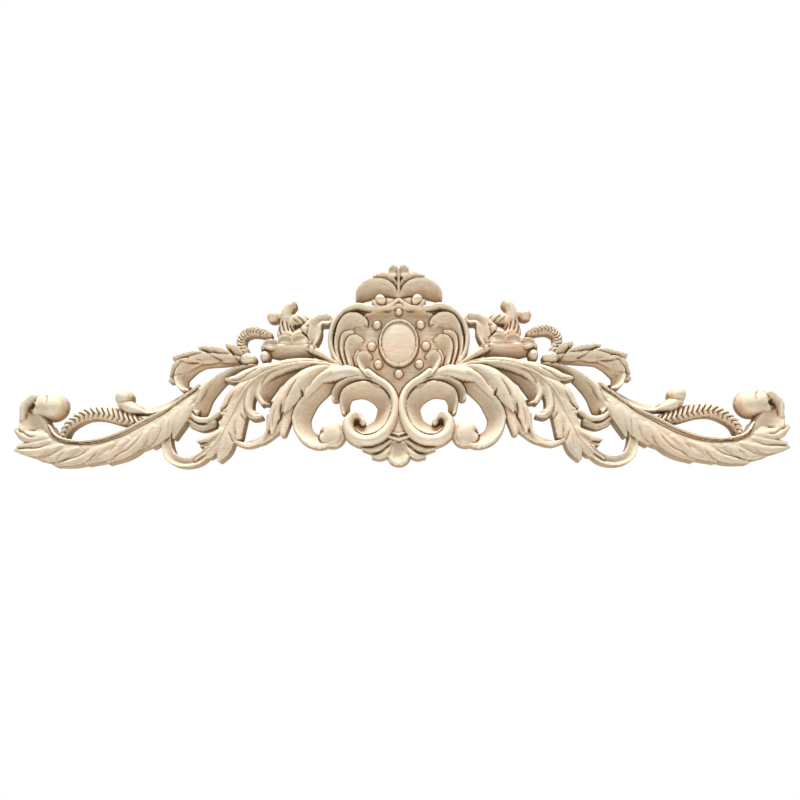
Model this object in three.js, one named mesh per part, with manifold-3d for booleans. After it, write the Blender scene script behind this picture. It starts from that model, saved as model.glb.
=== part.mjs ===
// A carved openwork applique of pale hardwood: one mirror-symmetric crest of acanthus leaves, scrolls, ropes,
// two flowers and a small cartouche with an oval boss, cut from a single board to be glued or pinned flat.
// Millimetres. X runs along the board, Z is up, the flat back is the plane y = 0 and the carving rises to -Y.
// The origin is on the back, straight behind the middle of the oval boss.
import * as THREE from 'three';
import { mergeVertices } from 'three/addons/utils/BufferGeometryUtils.js';
import Module from 'manifold-3d';

// Sizes of the board
const length = 600;
const thickness = 20;

// The carving keeps its proportions: plan sizes in thousandths of the length, heights in hundredths of the
// thickness
const plan = length / 1000;
const rise = thickness / 100;

// Strokes of one half: points from root to tip, x outwards and z up, half widths, crest heights
const strokes = {
  tuftLobe: {
    section: 'hollow', shoulder: 40,
    path: [[1, 74], [3, 85], [6, 97]],
    half: [1.5, 5],
    crest: [65, 70],
  },
  feather: {
    section: 'coveRight', shoulder: 30,
    path: [[2, 73], [8, 86], [19, 93], [33, 94]],
    half: [2.5, 5.5, 6, 3],
    crest: [65, 80, 72],
  },
  finialLeaf: {
    section: 'coveRight', shoulder: 20,
    path: [[5, 64], [12, 73], [21, 78], [32, 80], [42, 77], [51, 71], [56, 62]],
    half: [5.5, 12, 12.5, 10, 2.5],
    crest: [70, 82, 82, 68],
  },
  finialCurl: {
    section: 'round', shoulder: 45,
    path: [[2, 59], [9, 53], [18, 49], [28, 50], [34, 58]],
    half: [3, 2.5],
    crest: [82, 90, 85],
  },
  finialWeb: {
    section: 'round', shoulder: 30,
    path: [[5, 61], [15, 60], [25, 60]],
    half: [4, 7, 7],
    crest: [55, 60],
  },
  frameRim: {
    section: 'round', shoulder: 45,
    path: [[0, 52], [19, 49], [38, 49], [57, 52], [74, 44], [86, 29], [91, 10], [89, -9], [81, -26]],
    half: [4, 4.5, 3.5, 3],
    crest: [75, 84, 85, 70],
  },
  frameCove: {
    section: 'coveRight', shoulder: 40,
    path: [[0, 45], [21, 42], [43, 38]],
    half: [7.5, 7, 4.5],
    crest: [70, 68],
  },
  plume1: {
    section: 'coveLeft', shoulder: 45,
    path: [[75, -30], [78, -21], [81, -12], [82, -3], [81, 7], [78, 16], [74, 24], [67, 31], [58, 32],
      [49, 28]],
    half: [2.5, 3, 4, 5.5, 8, 10.5, 8],
    crest: [60, 71, 84, 85],
  },
  plume2: {
    section: 'coveLeft', shoulder: 45,
    path: [[70, -28], [72, -21], [74, -13], [75, -5], [73, 3], [70, 10], [63, 13]],
    half: [2.5, 3, 3.5, 5, 6.5, 4.5],
    crest: [60, 75],
  },
  plume3: {
    section: 'coveLeft', shoulder: 45,
    path: [[63, -31], [65, -24], [66, -16], [66, -9], [64, -1], [59, 4], [52, 3]],
    half: [2.5, 3.5, 5, 7, 8.5, 5.5],
    crest: [60, 64, 75, 76],
  },
  sScroll: {
    section: 'round', shoulder: 45,
    path: [[41, -40], [30, -49], [18, -57], [9, -68], [5, -82], [5, -96], [9, -109], [17, -121],
      [28, -129], [41, -132], [54, -129], [64, -120], [65, -106], [56, -97], [47, -106]],
    half: [5.5, 5.5, 7, 8, 8, 4],
    crest: [81, 92, 97, 98, 96, 80],
  },
  scrollHead: {
    section: 'coveLeft', shoulder: 45,
    path: [[38, -44], [43, -38], [47, -32], [49, -24], [46, -18], [39, -20]],
    half: [4.5, 6, 7.5, 4],
    crest: [83, 83, 85, 78],
  },
  cScroll: {
    section: 'coveLeft', shoulder: 20,
    path: [[70, -91], [71, -78], [65, -66], [53, -62], [40, -63], [28, -69], [20, -80], [19, -93],
      [23, -105], [33, -114], [45, -117], [56, -111]],
    half: [5.5, 8.5, 10.5, 11, 9.5, 8.5, 5.5],
    crest: [60, 77, 78, 78, 70],
  },
  cLeaf: {
    section: 'coveRight', shoulder: 25,
    path: [[27, -59], [34, -55], [41, -52], [49, -51], [57, -51], [64, -52], [72, -55], [78, -59],
      [82, -66], [83, -73]],
    half: [2.5, 4, 5, 6, 5.5],
    crest: [75, 83, 72],
  },
  shellMid: {
    section: 'hollow', shoulder: 50,
    path: [[0, -132], [0, -140], [0, -148]],
    half: [4.5, 15.5],
    crest: [70, 78],
  },
  shellSide1: {
    section: 'leaf', shoulder: 45,
    path: [[5, -132], [9, -141], [16, -148], [24, -152], [33, -152]],
    half: [2.5, 4.5, 2],
    crest: [70, 78, 70],
  },
  shellSide2: {
    section: 'leaf', shoulder: 45,
    path: [[10, -132], [21, -140], [33, -144], [46, -142]],
    half: [2.5, 4, 1.5],
    crest: [70, 75, 68],
  },
  keystone: {
    section: 'leaf', shoulder: 45,
    path: [[0, -98], [0, -110], [0, -121]],
    half: [2, 11],
    crest: [75, 80],
  },
  bigScroll: {
    section: 'coveRight', shoulder: 25,
    path: [[77, -49], [91, -56], [103, -65], [114, -75], [122, -87], [127, -101], [124, -116], [115, -127],
      [101, -132], [87, -128]],
    half: [6.5, 12, 7.5],
    crest: [60, 87, 85],
  },
  lobeA: {
    section: 'leaf', shoulder: 50,
    path: [[43, -46], [61, -40], [80, -42], [97, -50]],
    half: [4, 7, 8, 3.5],
    crest: [72, 92, 82],
  },
  lobeB: {
    section: 'leaf', shoulder: 50,
    path: [[67, -37], [85, -40], [102, -47], [115, -61], [125, -77]],
    half: [4, 6.5, 8, 7, 2.5],
    crest: [72, 90, 86, 75],
  },
  lobeC: {
    section: 'leaf', shoulder: 50,
    path: [[80, -34], [104, -36], [125, -49], [138, -70], [148, -92]],
    half: [4, 6, 8, 10, 10.5, 8.5, 2.5],
    crest: [75, 90, 72],
  },
  lobeD: {
    section: 'leaf', shoulder: 50,
    path: [[114, -39], [135, -52], [150, -72], [161, -95], [164, -119]],
    half: [4, 6.5, 8, 7.5, 7, 2.5],
    crest: [78, 81, 70],
  },
  lobeE: {
    section: 'leaf', shoulder: 40,
    path: [[139, -79], [146, -100], [150, -121]],
    half: [5, 7, 4],
    crest: [60, 65],
  },
  leafRib: {
    section: 'round', shoulder: 60,
    path: [[90, -30], [114, -28], [138, -29], [161, -35], [182, -45], [199, -62], [210, -82], [219, -103],
      [229, -124], [243, -142], [261, -156]],
    half: [2, 1.5],
    crest: [80, 90, 83, 75],
  },
  leafBody: {
    section: 'round', shoulder: 55,
    path: [[84, -30], [109, -27], [134, -27], [158, -33], [180, -44], [197, -61], [210, -83], [218, -106],
      [228, -128], [244, -146]],
    half: [4, 7.5, 11.5, 13.5, 7],
    crest: [70, 78, 72],
  },
  leafL1: {
    section: 'leaf', shoulder: 50,
    path: [[163, -31], [179, -35], [194, -42], [210, -48], [227, -49]],
    half: [4, 7, 7, 2],
    crest: [80, 84, 72],
  },
  leafL2: {
    section: 'leaf', shoulder: 50,
    path: [[192, -51], [213, -68], [231, -88]],
    half: [5, 8.5, 2],
    crest: [78, 80, 68],
  },
  leafL4: {
    section: 'leaf', shoulder: 50,
    path: [[218, -109], [230, -120], [244, -128], [259, -131]],
    half: [5, 5.5, 2],
    crest: [75, 76, 68],
  },
  leafR1: {
    section: 'coveRight', shoulder: 20,
    path: [[115, -30], [122, -31], [128, -32], [135, -34], [141, -36], [147, -38], [153, -41], [159, -45],
      [164, -49], [168, -55], [171, -60], [174, -66], [176, -73], [172, -79], [167, -78]],
    half: [4, 7, 8.5, 8, 2.5],
    crest: [70, 72],
  },
  leafR2: {
    section: 'leaf', shoulder: 50,
    path: [[187, -51], [193, -60], [197, -70], [198, -81], [196, -91], [189, -99], [179, -99]],
    half: [5, 6.5, 5.5, 2.5],
    crest: [80, 83, 75],
  },
  leafR3: {
    section: 'leaf', shoulder: 50,
    path: [[200, -78], [206, -101], [207, -125]],
    half: [6, 8, 5],
    crest: [80, 75],
  },
  leafTip: {
    section: 'leaf', shoulder: 45,
    path: [[212, -99], [221, -127], [230, -155]],
    half: [6.5, 8.5, 9.5, 9, 3],
    crest: [78, 81, 70],
  },
  ring: {
    section: 'round', shoulder: 45,
    path: [[214, -130], [196, -136], [179, -131], [170, -115], [169, -97]],
    half: [3, 3],
    crest: [70, 72],
  },
  ringWeb: {
    section: 'round', shoulder: 40,
    path: [[198, -134], [179, -130], [164, -119], [150, -107]],
    half: [2.5, 5.5, 6],
    crest: [50, 60],
  },
  stemCove: {
    section: 'coveRight', shoulder: 20,
    path: [[181, -30], [199, -32], [216, -36], [231, -45], [244, -57], [254, -71], [260, -88]],
    half: [2, 4.5, 8.5, 9.5],
    crest: [75, 72],
  },
  strap1: {
    section: 'round', shoulder: 45,
    path: [[275, -91], [262, -102], [247, -102], [234, -93]],
    half: [4, 4],
    crest: [68, 70],
  },
  strap3: {
    section: 'round', shoulder: 40,
    path: [[270, -108], [255, -113], [241, -109]],
    half: [4, 4],
    crest: [52, 52],
  },
  armBody: {
    section: 'round', shoulder: 55,
    path: [[259, -65], [277, -83], [297, -98], [319, -111], [341, -123], [364, -133], [388, -139],
      [414, -141], [440, -138], [465, -126]],
    half: [5, 12, 13, 11, 9.5, 10.5, 13],
    crest: [72, 75],
  },
  armRim: {
    section: 'round', shoulder: 60,
    path: [[262, -57], [274, -66], [286, -76], [298, -86], [312, -94], [326, -101], [339, -108],
      [353, -116], [367, -122], [381, -127], [397, -130], [413, -131], [429, -129], [444, -123], [454, -110]],
    half: [1.5, 1.5],
    crest: [80, 82],
  },
  armA: {
    section: 'leaf', shoulder: 50,
    path: [[272, -83], [284, -104], [291, -126]],
    half: [6.5, 8, 2],
    crest: [78, 79, 65],
  },
  armB: {
    section: 'leaf', shoulder: 50,
    path: [[284, -91], [301, -114], [318, -137]],
    half: [6.5, 9.5, 9, 2.5],
    crest: [78, 80, 65],
  },
  armD: {
    section: 'leaf', shoulder: 50,
    path: [[317, -113], [343, -138], [374, -158]],
    half: [6, 9, 8.5, 2],
    crest: [78, 79, 65],
  },
  armF: {
    section: 'leaf', shoulder: 50,
    path: [[369, -135], [404, -151], [442, -161]],
    half: [5, 8.5, 7.5, 2],
    crest: [78, 79, 65],
  },
  armH: {
    section: 'leaf', shoulder: 50,
    path: [[434, -137], [453, -142], [474, -144], [495, -142]],
    half: [5, 7.5, 2],
    crest: [78, 79, 65],
  },
  armJ: {
    section: 'leaf', shoulder: 50,
    path: [[456, -126], [469, -126], [484, -124], [497, -116]],
    half: [6.5, 8, 7.5, 3],
    crest: [78, 80, 68],
  },
  endStem: {
    section: 'hollow', shoulder: 45,
    path: [[451, -133], [463, -125], [473, -114], [481, -102], [483, -88]],
    half: [8, 18, 9],
    crest: [75, 80, 72],
  },
  endRoll: {
    section: 'round', shoulder: 15,
    path: [[470, -83], [463, -83], [456, -83]],
    half: [17.5, 18.5, 18.5],
    crest: [92, 100],
  },
  endLip: {
    section: 'round', shoulder: 50,
    path: [[491, -101], [490, -84], [478, -72]],
    half: [3.5, 5, 5],
    crest: [78, 92, 97],
  },
  curlStem: {
    section: 'coveLeft', shoulder: 30,
    path: [[272, -60], [284, -70], [296, -79], [310, -86], [324, -90], [340, -87]],
    half: [2, 5.5, 5],
    crest: [72, 75],
  },
  curlCup: {
    section: 'round', shoulder: 30,
    path: [[335, -91], [349, -87], [363, -81]],
    half: [3, 5.5, 9, 6.5],
    crest: [75, 80],
  },
  loop: {
    section: 'hollow', shoulder: 50,
    path: [[298, -113], [300, -133], [293, -151], [276, -158], [258, -155], [244, -143]],
    half: [4, 7, 6.5, 6],
    crest: [60, 74, 78],
  },
  sprigBody: {
    section: 'coveRight', shoulder: 20,
    path: [[198, -22], [207, -22], [216, -21], [225, -20], [234, -20], [243, -20], [252, -20], [261, -21],
      [269, -24], [277, -29], [283, -35], [288, -42], [288, -51], [283, -59], [275, -59]],
    half: [4, 7, 9, 10, 3],
    crest: [65, 74, 78, 72],
  },
  sprigA: {
    section: 'coveRight', shoulder: 40,
    path: [[204, -23], [215, -12], [229, -2]],
    half: [2.5, 8, 2.5],
    crest: [55, 79, 70],
  },
  sprigB: {
    section: 'coveRight', shoulder: 40,
    path: [[215, -21], [239, -13], [265, -5]],
    half: [2.5, 8, 6.5, 2.5],
    crest: [55, 79, 70],
  },
  sprigC: {
    section: 'coveRight', shoulder: 40,
    path: [[239, -20], [268, -17], [299, -19]],
    half: [2.5, 8, 6.5, 2.5],
    crest: [55, 79, 70],
  },
  sprigD: {
    section: 'coveRight', shoulder: 40,
    path: [[264, -24], [279, -26], [292, -32], [300, -44]],
    half: [2.5, 9, 3],
    crest: [55, 79, 70],
  },
  calyx: {
    section: 'coveLeft', shoulder: 25,
    path: [[178, -7], [157, -10], [135, -11], [114, -8]],
    half: [6.5, 9, 7],
    crest: [72, 84, 82],
  },
  flowerStem: {
    section: 'round', shoulder: 45,
    path: [[115, -7], [97, -18], [80, -30]],
    half: [5.5, 2.5],
    crest: [78, 70],
  },
  petalRight: {
    section: 'hollow', shoulder: 50,
    path: [[119, -4], [115, 5], [112, 15], [111, 24], [105, 32], [95, 33]],
    half: [5.5, 9.5, 8, 7],
    crest: [78, 85, 80],
  },
  petalBack: {
    section: 'round', shoulder: 45,
    path: [[142, 8], [127, 19], [115, 33]],
    half: [8, 7.5, 5.5],
    crest: [65, 70],
  },
  pistil: {
    section: 'round', shoulder: 45,
    path: [[151, 15], [151, 25], [151, 35], [151, 44], [147, 53]],
    half: [12, 8.5, 6.5],
    crest: [68, 85],
  },
  stubNeck: {
    section: 'round', shoulder: 30,
    path: [[168, 40], [161, 41], [155, 41]],
    half: [5, 5],
    crest: [65, 70],
  },
  stamens: {
    section: 'round', shoulder: 40,
    path: [[150, 28], [138, 35], [124, 34]],
    half: [6.5, 8, 5],
    crest: [70, 75, 65],
  },
};

// Twisted cords of one half
const cords = {
  armRope: {
    twists: 17, shoulder: 30,
    path: [[339, -104], [358, -99], [378, -93], [398, -92], [417, -97], [432, -109], [438, -127]],
    half: [7, 10, 9.5, 8.5, 7, 5],
    crest: [72, 80, 70],
  },
  hookRope: {
    twists: 13, shoulder: 30,
    path: [[205, -11], [211, 4], [204, 17], [189, 19], [174, 14]],
    half: [6, 7, 5],
    crest: [80, 72],
  },
};
const cordHollow = { across: 0.86, up: 0.7, slant: 0.45 };

// Round and oval knobs of one half: place, half sizes, shoulder and top
const knobs = {
  finialBall: { x: 25, z: 60, wide: 7.5, tall: 7.5, shoulder: 45, top: 100 },
  tuftBowl: { x: 7, z: 100, wide: 7.5, tall: 8.5, shoulder: 45, top: 92 },
  petalLeft: { x: 170, z: -1, wide: 11, tall: 7, shoulder: 45, top: 82 },
  petalMid1: { x: 151, z: 2, wide: 11, tall: 10, shoulder: 45, top: 85 },
  petalMid2: { x: 131, z: 3, wide: 11.5, tall: 10, shoulder: 45, top: 86 },
  petalBulb: { x: 178, z: -16, wide: 7, tall: 8, shoulder: 25, top: 72 },
  stamenKnob: { x: 145, z: 56, wide: 7, tall: 7, shoulder: 30, top: 75 },
  stubLeft: { x: 169, z: 40, wide: 9, tall: 8, shoulder: 25, top: 75 },
  hookBud: { x: 200, z: -20, wide: 11, tall: 8, shoulder: 25, top: 85 },
  volute: { x: 86, z: -123, wide: 17, tall: 16.5, shoulder: 50, top: 90 },
  armKnob: { x: 362, z: -72, wide: 11.5, tall: 11, shoulder: 20, top: 90 },
};

// Beads around the oval boss of the cartouche: place and radius
const beads = [
  [0, 44, 5],
  [29, 26, 5.5],
  [36, -4, 5.5],
  [27, -29, 5.5],
  [0, -42, 5.5],
];
const beadHeights = { shoulder: 45, top: 78 };

// Outline of one half of the cartouche's plate, from its top round to the meeting of the scrolls
const platePath = [[0, 53], [25, 49], [50, 51], [71, 47], [86, 31], [92, 9], [89, -11], [81, -25],
  [62, -32], [46, -39], [25, -55], [9, -70], [0, -88]];
const plateHeight = 48;

// Cross-sections from the left of a stroke to its right: place across, and share of the rise to the crest
const sections = {
  round: [[-1, 0], [-0.5, 0.87], [0.5, 0.87], [1, 0]],
  leaf: [[-1, 0.5], [0, 1], [1, 0.5]],
  hollow: [[-1, 0.92], [0, 0.4], [1, 0.92]],
  coveLeft: [[-1, 1], [0.1, 0.4], [1, 0.15]],
  coveRight: [[-1, 0.15], [-0.1, 0.4], [1, 1]],
  cord: [[-0.8, 0.5], [0.8, 0.5]],
};

// How far a stroke may turn and run between two cuts, and how its ends and tight bends are cut
const turnPerCut = 0.6;
const runPerCut = 70;
const cutsPerPiece = 9;
const roundEnd = [0.72, 0.97];
const pointedTip = 2.6;
const bendRoom = 0.9;
const straight = 1e-6;
const curveSteps = 160;

// Every piece starts a little behind the back, in hundredths of the thickness, and is sawn flat at the end
const spare = 5;

// Value of evenly spaced controls at t from 0 to 1, by a smooth curve through them
function valueAt(controls, t) {
  const place = t * (controls.length - 1);
  const i = Math.min(Math.floor(place), controls.length - 2);
  const f = place - i;
  const before = controls[i - 1] ?? 2 * controls[i] - controls[i + 1];
  const after = controls[i + 2] ?? 2 * controls[i + 1] - controls[i];
  const slope = controls[i + 1] - before;
  const bend = 2 * before - 5 * controls[i] + 4 * controls[i + 1] - after;
  const twist = 3 * controls[i] - before - 3 * controls[i + 1] + after;
  return controls[i] + 0.5 * (slope * f + bend * f * f + twist * f * f * f);
}

// Curve through the points of a stroke, in thousandths of the length, x outwards from the middle
function strokeCurve(path) {
  return new THREE.CatmullRomCurve3(path.map(([x, z]) => new THREE.Vector3(x, 0, z)), false, 'centripetal');
}

// Signed bend of a curve per unit of its run, positive where it bends to the right
function bendAt(curve, t, run) {
  const step = 1 / curveSteps;
  const from = curve.getTangentAt(Math.max(0, t - step));
  const to = curve.getTangentAt(Math.min(1, t + step));
  const span = (Math.min(1, t + step) - Math.max(0, t - step)) * run;
  return (from.x * to.z - from.z * to.x) / span;
}

// Places from 0 to 1 where a stroke is cut: closer together where it turns
function cutPlaces(curve) {
  const need = [0];
  const steps = Math.round(curveSteps);
  for (let i = 1; i <= steps; i += 1) {
    const turn = curve.getTangentAt((i - 1) / steps).angleTo(curve.getTangentAt(i / steps));
    const run = curve.getPointAt((i - 1) / steps).distanceTo(curve.getPointAt(i / steps));
    need.push(need[i - 1] + turn / turnPerCut + run / runPerCut);
  }
  const count = Math.max(2, Math.ceil(need[steps]));
  const places = [0];
  for (let k = 1, i = 0; k < count; k += 1) {
    const wanted = (need[steps] * k) / count;
    while (need[i + 1] < wanted) i += 1;
    places.push((i + (wanted - need[i]) / (need[i + 1] - need[i])) / steps);
  }
  return [...places, 1];
}

// One cut: its ring runs from the back on the left over the front to the back on the right
function cutRing({ front, at, along, half, shoulder, crest, bend = 0, skew = 0 }) {
  const right = new THREE.Vector3(-along.z, 0, along.x);
  const room = bendRoom / Math.max(Math.abs(bend), straight);
  const ring = [];
  const addPoint = (across, height) => {
    const inside = across * bend > 0;
    const reach = across * (inside ? Math.min(half, room) : half);
    const p = at.clone().addScaledVector(right, reach).addScaledVector(along, across * skew);
    ring.push(new THREE.Vector3(-p.x * plan, -height * rise, p.z * plan));
  };
  addPoint(front[0][0], -spare);
  for (const [across, up] of front) addPoint(across, shoulder + (crest - shoulder) * up);
  addPoint(front[front.length - 1][0], -spare);
  return ring;
}

// Cuts of a plain stroke, with a round end wherever the stroke doesn't run out in a point
function strokeRings({ section, shoulder, path, half, crest }) {
  const curve = strokeCurve(path);
  const run = curve.getLength();
  const front = sections[section];
  const ringAt = (t) => ({
    front,
    shoulder,
    at: curve.getPointAt(t),
    along: curve.getTangentAt(t),
    half: valueAt(half, t),
    crest: valueAt(crest, t),
    bend: bendAt(curve, t, run),
  });
  const cuts = cutPlaces(curve).map(ringAt);
  const endCuts = (cut, way) => {
    if (cut.half < pointedTip) return [];
    return roundEnd.map((beyond) => {
      const left = Math.sqrt(1 - beyond * beyond);
      return {
        ...cut,
        at: cut.at.clone().addScaledVector(cut.along, way * beyond * cut.half),
        half: cut.half * left,
        crest: shoulder + (cut.crest - shoulder) * left,
        bend: 0,
      };
    });
  };
  const first = endCuts(cuts[0], -1).reverse();
  const last = endCuts(cuts[cuts.length - 1], 1);
  const tip = cuts[cuts.length - 1];
  if (last.length === 0) tip.at.addScaledVector(tip.along, tip.half);
  return [...first, ...cuts, ...last].map(cutRing);
}

// Cuts of a twisted cord: a slanting ridge and a slanting hollow for each twist
function cordRings({ twists, shoulder, path, half, crest }) {
  const curve = strokeCurve(path);
  const pitch = curve.getLength() / twists;
  const rings = [];
  for (let k = 0; k <= 2 * twists; k += 1) {
    const t = k / (2 * twists);
    const ridge = k % 2;
    const full = valueAt(half, t);
    rings.push(cutRing({
      front: sections.cord,
      shoulder,
      at: curve.getPointAt(t),
      along: curve.getTangentAt(t),
      half: full * (ridge ? 1 : cordHollow.across),
      crest: shoulder + (valueAt(crest, t) - shoulder) * (ridge ? 1 : cordHollow.up),
      skew: pitch * cordHollow.slant,
    }));
  }
  return rings;
}

// Closed solid between a run of cuts, both ends fanned from the middle of the front
function solidOfRings(rings, mirrored) {
  const count = rings[0].length;
  const apex = Math.floor(count / 2);
  const positions = rings.flat().flatMap((p) => [mirrored ? -p.x : p.x, p.y, p.z]);
  const index = [];
  for (let r = 0; r + 1 < rings.length; r += 1) {
    for (let k = 0; k < count; k += 1) {
      const a = r * count + k;
      const b = r * count + ((k + 1) % count);
      index.push(a, b, b + count, a, b + count, a + count);
    }
  }
  const last = (rings.length - 1) * count;
  for (let k = 1; k + 1 < count; k += 1) {
    const b = (apex + k) % count;
    const c = (apex + k + 1) % count;
    index.push(apex, c, b, last + apex, last + b, last + c);
  }
  return solidOf(positions, index);
}

// Accuracy of the joints between the pieces, and how close two corners of one piece count as the same
const jointFit = 0.1;
const sameCorner = 1e-4;

const wasm = await Module();
wasm.setup();

// Joinable solid of a closed triangle mesh, its faces turned outwards if they all face in
function solidOf(positions, index) {
  let volume = 0;
  const corner = (i) => new THREE.Vector3().fromArray(positions, 3 * i);
  for (let i = 0; i < index.length; i += 3) {
    volume += corner(index[i]).dot(corner(index[i + 1]).cross(corner(index[i + 2])));
  }
  const turned = volume < 0;
  const triangles = new Uint32Array(index.length);
  for (let i = 0; i < index.length; i += 3) {
    triangles[i] = index[i];
    triangles[i + 1] = index[turned ? i + 2 : i + 1];
    triangles[i + 2] = index[turned ? i + 1 : i + 2];
  }
  return new wasm.Manifold(new wasm.Mesh({
    numProp: 3,
    tolerance: jointFit,
    vertProperties: new Float32Array(positions),
    triVerts: triangles,
  }));
}

// Joinable solid of a three.js geometry
function solidOfGeometry(geometry) {
  const bare = geometry.clone();
  bare.deleteAttribute('normal');
  bare.deleteAttribute('uv');
  const merged = mergeVertices(bare, sameCorner);
  return solidOf([...merged.attributes.position.array], [...merged.index.array]);
}

// Turned and flattened boss standing on the back: rows are [share of the radius, height]
function boss(x, z, acrossX, acrossZ, rows, around) {
  const profile = [[0, -spare], [1, -spare], ...rows].map(([r, h]) => new THREE.Vector2(r, h * rise));
  const turned = new THREE.LatheGeometry(profile, around);
  turned.scale(acrossX * plan, -1, acrossZ * plan);
  turned.translate(x * plan, 0, z * plan);
  return solidOfGeometry(turned);
}

// Profile of a dome: its rim, its shoulder and its top
const domeShoulder = { out: 0.72, up: 0.7 };
const domeRows = (low, top) => [[1, low], [domeShoulder.out, low + (top - low) * domeShoulder.up], [0, top]];

// Oval boss: a rim, a groove inside it and a low dome
const bossOval = { wide: 26, tall: 32.5 };
const bossRows = [[1, 60], [0.96, 80], [0.9, 62], [0.86, 62], [0.8, 73], [0, 77]];
const around = { boss: 28, knob: 11, bead: 8 };

// Plate behind the cartouche, both halves in one outline
const outline = [...platePath, ...platePath.slice(1, -1).reverse().map(([x, z]) => [-x, z])];
const plateShape = new THREE.Shape(outline.map(([x, z]) => new THREE.Vector2(x * plan, z * plan)));
const plateDepth = (plateHeight + spare) * rise;
const plate = new THREE.ExtrudeGeometry(plateShape, { depth: plateDepth, bevelEnabled: false });
plate.rotateX(Math.PI / 2);
plate.translate(0, spare * rise, 0);

const pieces = [solidOfGeometry(plate), boss(0, 0, bossOval.wide, bossOval.tall, bossRows, around.boss)];
for (const mirrored of [false, true]) {
  const side = mirrored ? 1 : -1;
  const rods = [...Object.values(strokes).map(strokeRings), ...Object.values(cords).map(cordRings)];
  for (const rings of rods) {
    for (let k = 0; k + 1 < rings.length; k += cutsPerPiece) {
      pieces.push(solidOfRings(rings.slice(k, k + cutsPerPiece + 1), mirrored));
    }
  }
  for (const { x, z, wide, tall, shoulder, top } of Object.values(knobs)) {
    pieces.push(boss(side * x, z, wide, tall, domeRows(shoulder, top), around.knob));
  }
  for (const [x, z, radius] of beads.filter((bead) => bead[0] > 0 || !mirrored)) {
    const rows = domeRows(beadHeights.shoulder, beadHeights.top);
    pieces.push(boss(side * x, z, radius, radius, rows, around.bead));
  }
}

// Edges that are closed up after joining, in mm, and what a neighbouring triangle may do then
const shortEdge = 1.5;
const thinnest = 0.15;
const closingPasses = 3;
const flush = 0.001;
const sliver = 0.01;
const mostTurn = 0.7;

// Corners of a mesh as vectors, and its triangles as lists of three corner numbers
function looseMesh({ vertProperties, triVerts }) {
  const corners = [];
  for (let i = 0; i < vertProperties.length; i += 3) {
    corners.push(new THREE.Vector3().fromArray(vertProperties, i));
  }
  const triangles = [];
  for (let i = 0; i < triVerts.length; i += 3) triangles.push([...triVerts.slice(i, i + 3)]);
  return { corners, triangles };
}

// Closes up edges shorter than the given one, as long as no triangle folds over and the flat back stays flat
function closeShortEdges({ corners, triangles }, shortest) {
  const around = corners.map(() => new Set());
  triangles.forEach((triangle, t) => triangle.forEach((c) => around[c].add(t)));
  const touching = (c) => [...around[c]].flatMap((t) => triangles[t]);
  const neighbours = (c) => new Set(touching(c).filter((other) => other !== c));
  const onBack = (c) => Math.abs(corners[c].y) < flush;
  const normal = (triangle) => {
    const [p, q, r] = triangle.map((c) => corners[c]);
    return q.clone().sub(p).cross(r.clone().sub(p));
  };
  const edges = [];
  for (const triangle of triangles) {
    const sides = triangle.map((c, k) => {
      const d = triangle[(k + 1) % 3];
      return [corners[c].distanceTo(corners[d]), c, d];
    }).sort((e, f) => e[0] - f[0]);
    const width = normal(triangle).length() / sides[2][0];
    if (width < thinnest) edges.push(sides[0]);
    edges.push(...sides.filter(([size, c, d]) => c < d && size < shortest));
  }
  edges.sort((e, f) => e[0] - f[0]);
  const canMove = (from, to) => {
    if (onBack(from) && !onBack(to)) return false;
    const shared = neighbours(from).intersection(neighbours(to));
    if (!neighbours(from).has(to) || shared.size !== 2) return false;
    return [...around[from]].every((t) => {
      if (triangles[t].includes(to)) return true;
      const before = normal(triangles[t]);
      const after = normal(triangles[t].map((c) => (c === from ? to : c)));
      return after.length() > sliver && before.dot(after) > mostTurn * before.length() * after.length();
    });
  };
  for (const [, c, d] of edges) {
    const [from, to] = canMove(c, d) ? [c, d] : [d, c];
    if (!canMove(from, to)) continue;
    for (const t of [...around[from]]) {
      if (triangles[t].includes(to)) {
        triangles[t].forEach((corner) => around[corner].delete(t));
        triangles[t] = [];
      } else {
        triangles[t] = triangles[t].map((corner) => (corner === from ? to : corner));
        around[to].add(t);
      }
    }
    around[from].clear();
  }
  return { corners, triangles: triangles.filter((triangle) => triangle.length === 3) };
}

// Triangles joined to the outermost corner: small hollows closed in between the strokes are filled
function outerSkin({ corners, triangles }) {
  const leader = corners.map((_, i) => i);
  const find = (i) => {
    while (leader[i] !== i) i = leader[i];
    return i;
  };
  for (const [a, b, c] of triangles) {
    leader[find(b)] = find(a);
    leader[find(c)] = find(a);
  }
  const outermost = corners.reduce((best, corner, i) => (corner.x < corners[best].x ? i : best), 0);
  return { corners, triangles: triangles.filter(([a]) => find(a) === find(outermost)) };
}

// All strokes grow together into one board, sawn flat at the back and brought to its length and thickness
const waste = new THREE.BoxGeometry(2 * length, 2 * thickness, length).translate(0, thickness, 0);
const joined = wasm.Manifold.union(pieces).subtract(solidOfGeometry(waste));
let skin = outerSkin(looseMesh(joined.getMesh()));
for (let pass = 0; pass < closingPasses; pass += 1) skin = closeShortEdges(skin, shortEdge);
const board = new THREE.BufferGeometry().setFromPoints(skin.triangles.flat().map((c) => skin.corners[c]));
board.computeBoundingBox();
const { min, max } = board.boundingBox;
const stretch = length / (max.x - min.x);
board.scale(stretch, thickness / (max.y - min.y), stretch);
board.computeVertexNormals();

const wood = new THREE.MeshStandardMaterial({ color: '#e6d3b1', roughness: 0.62, metalness: 0 });
const applique = new THREE.Mesh(board, wood);
applique.name = 'carved_applique';

const group = new THREE.Group();
group.add(applique);
export default group;
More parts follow.
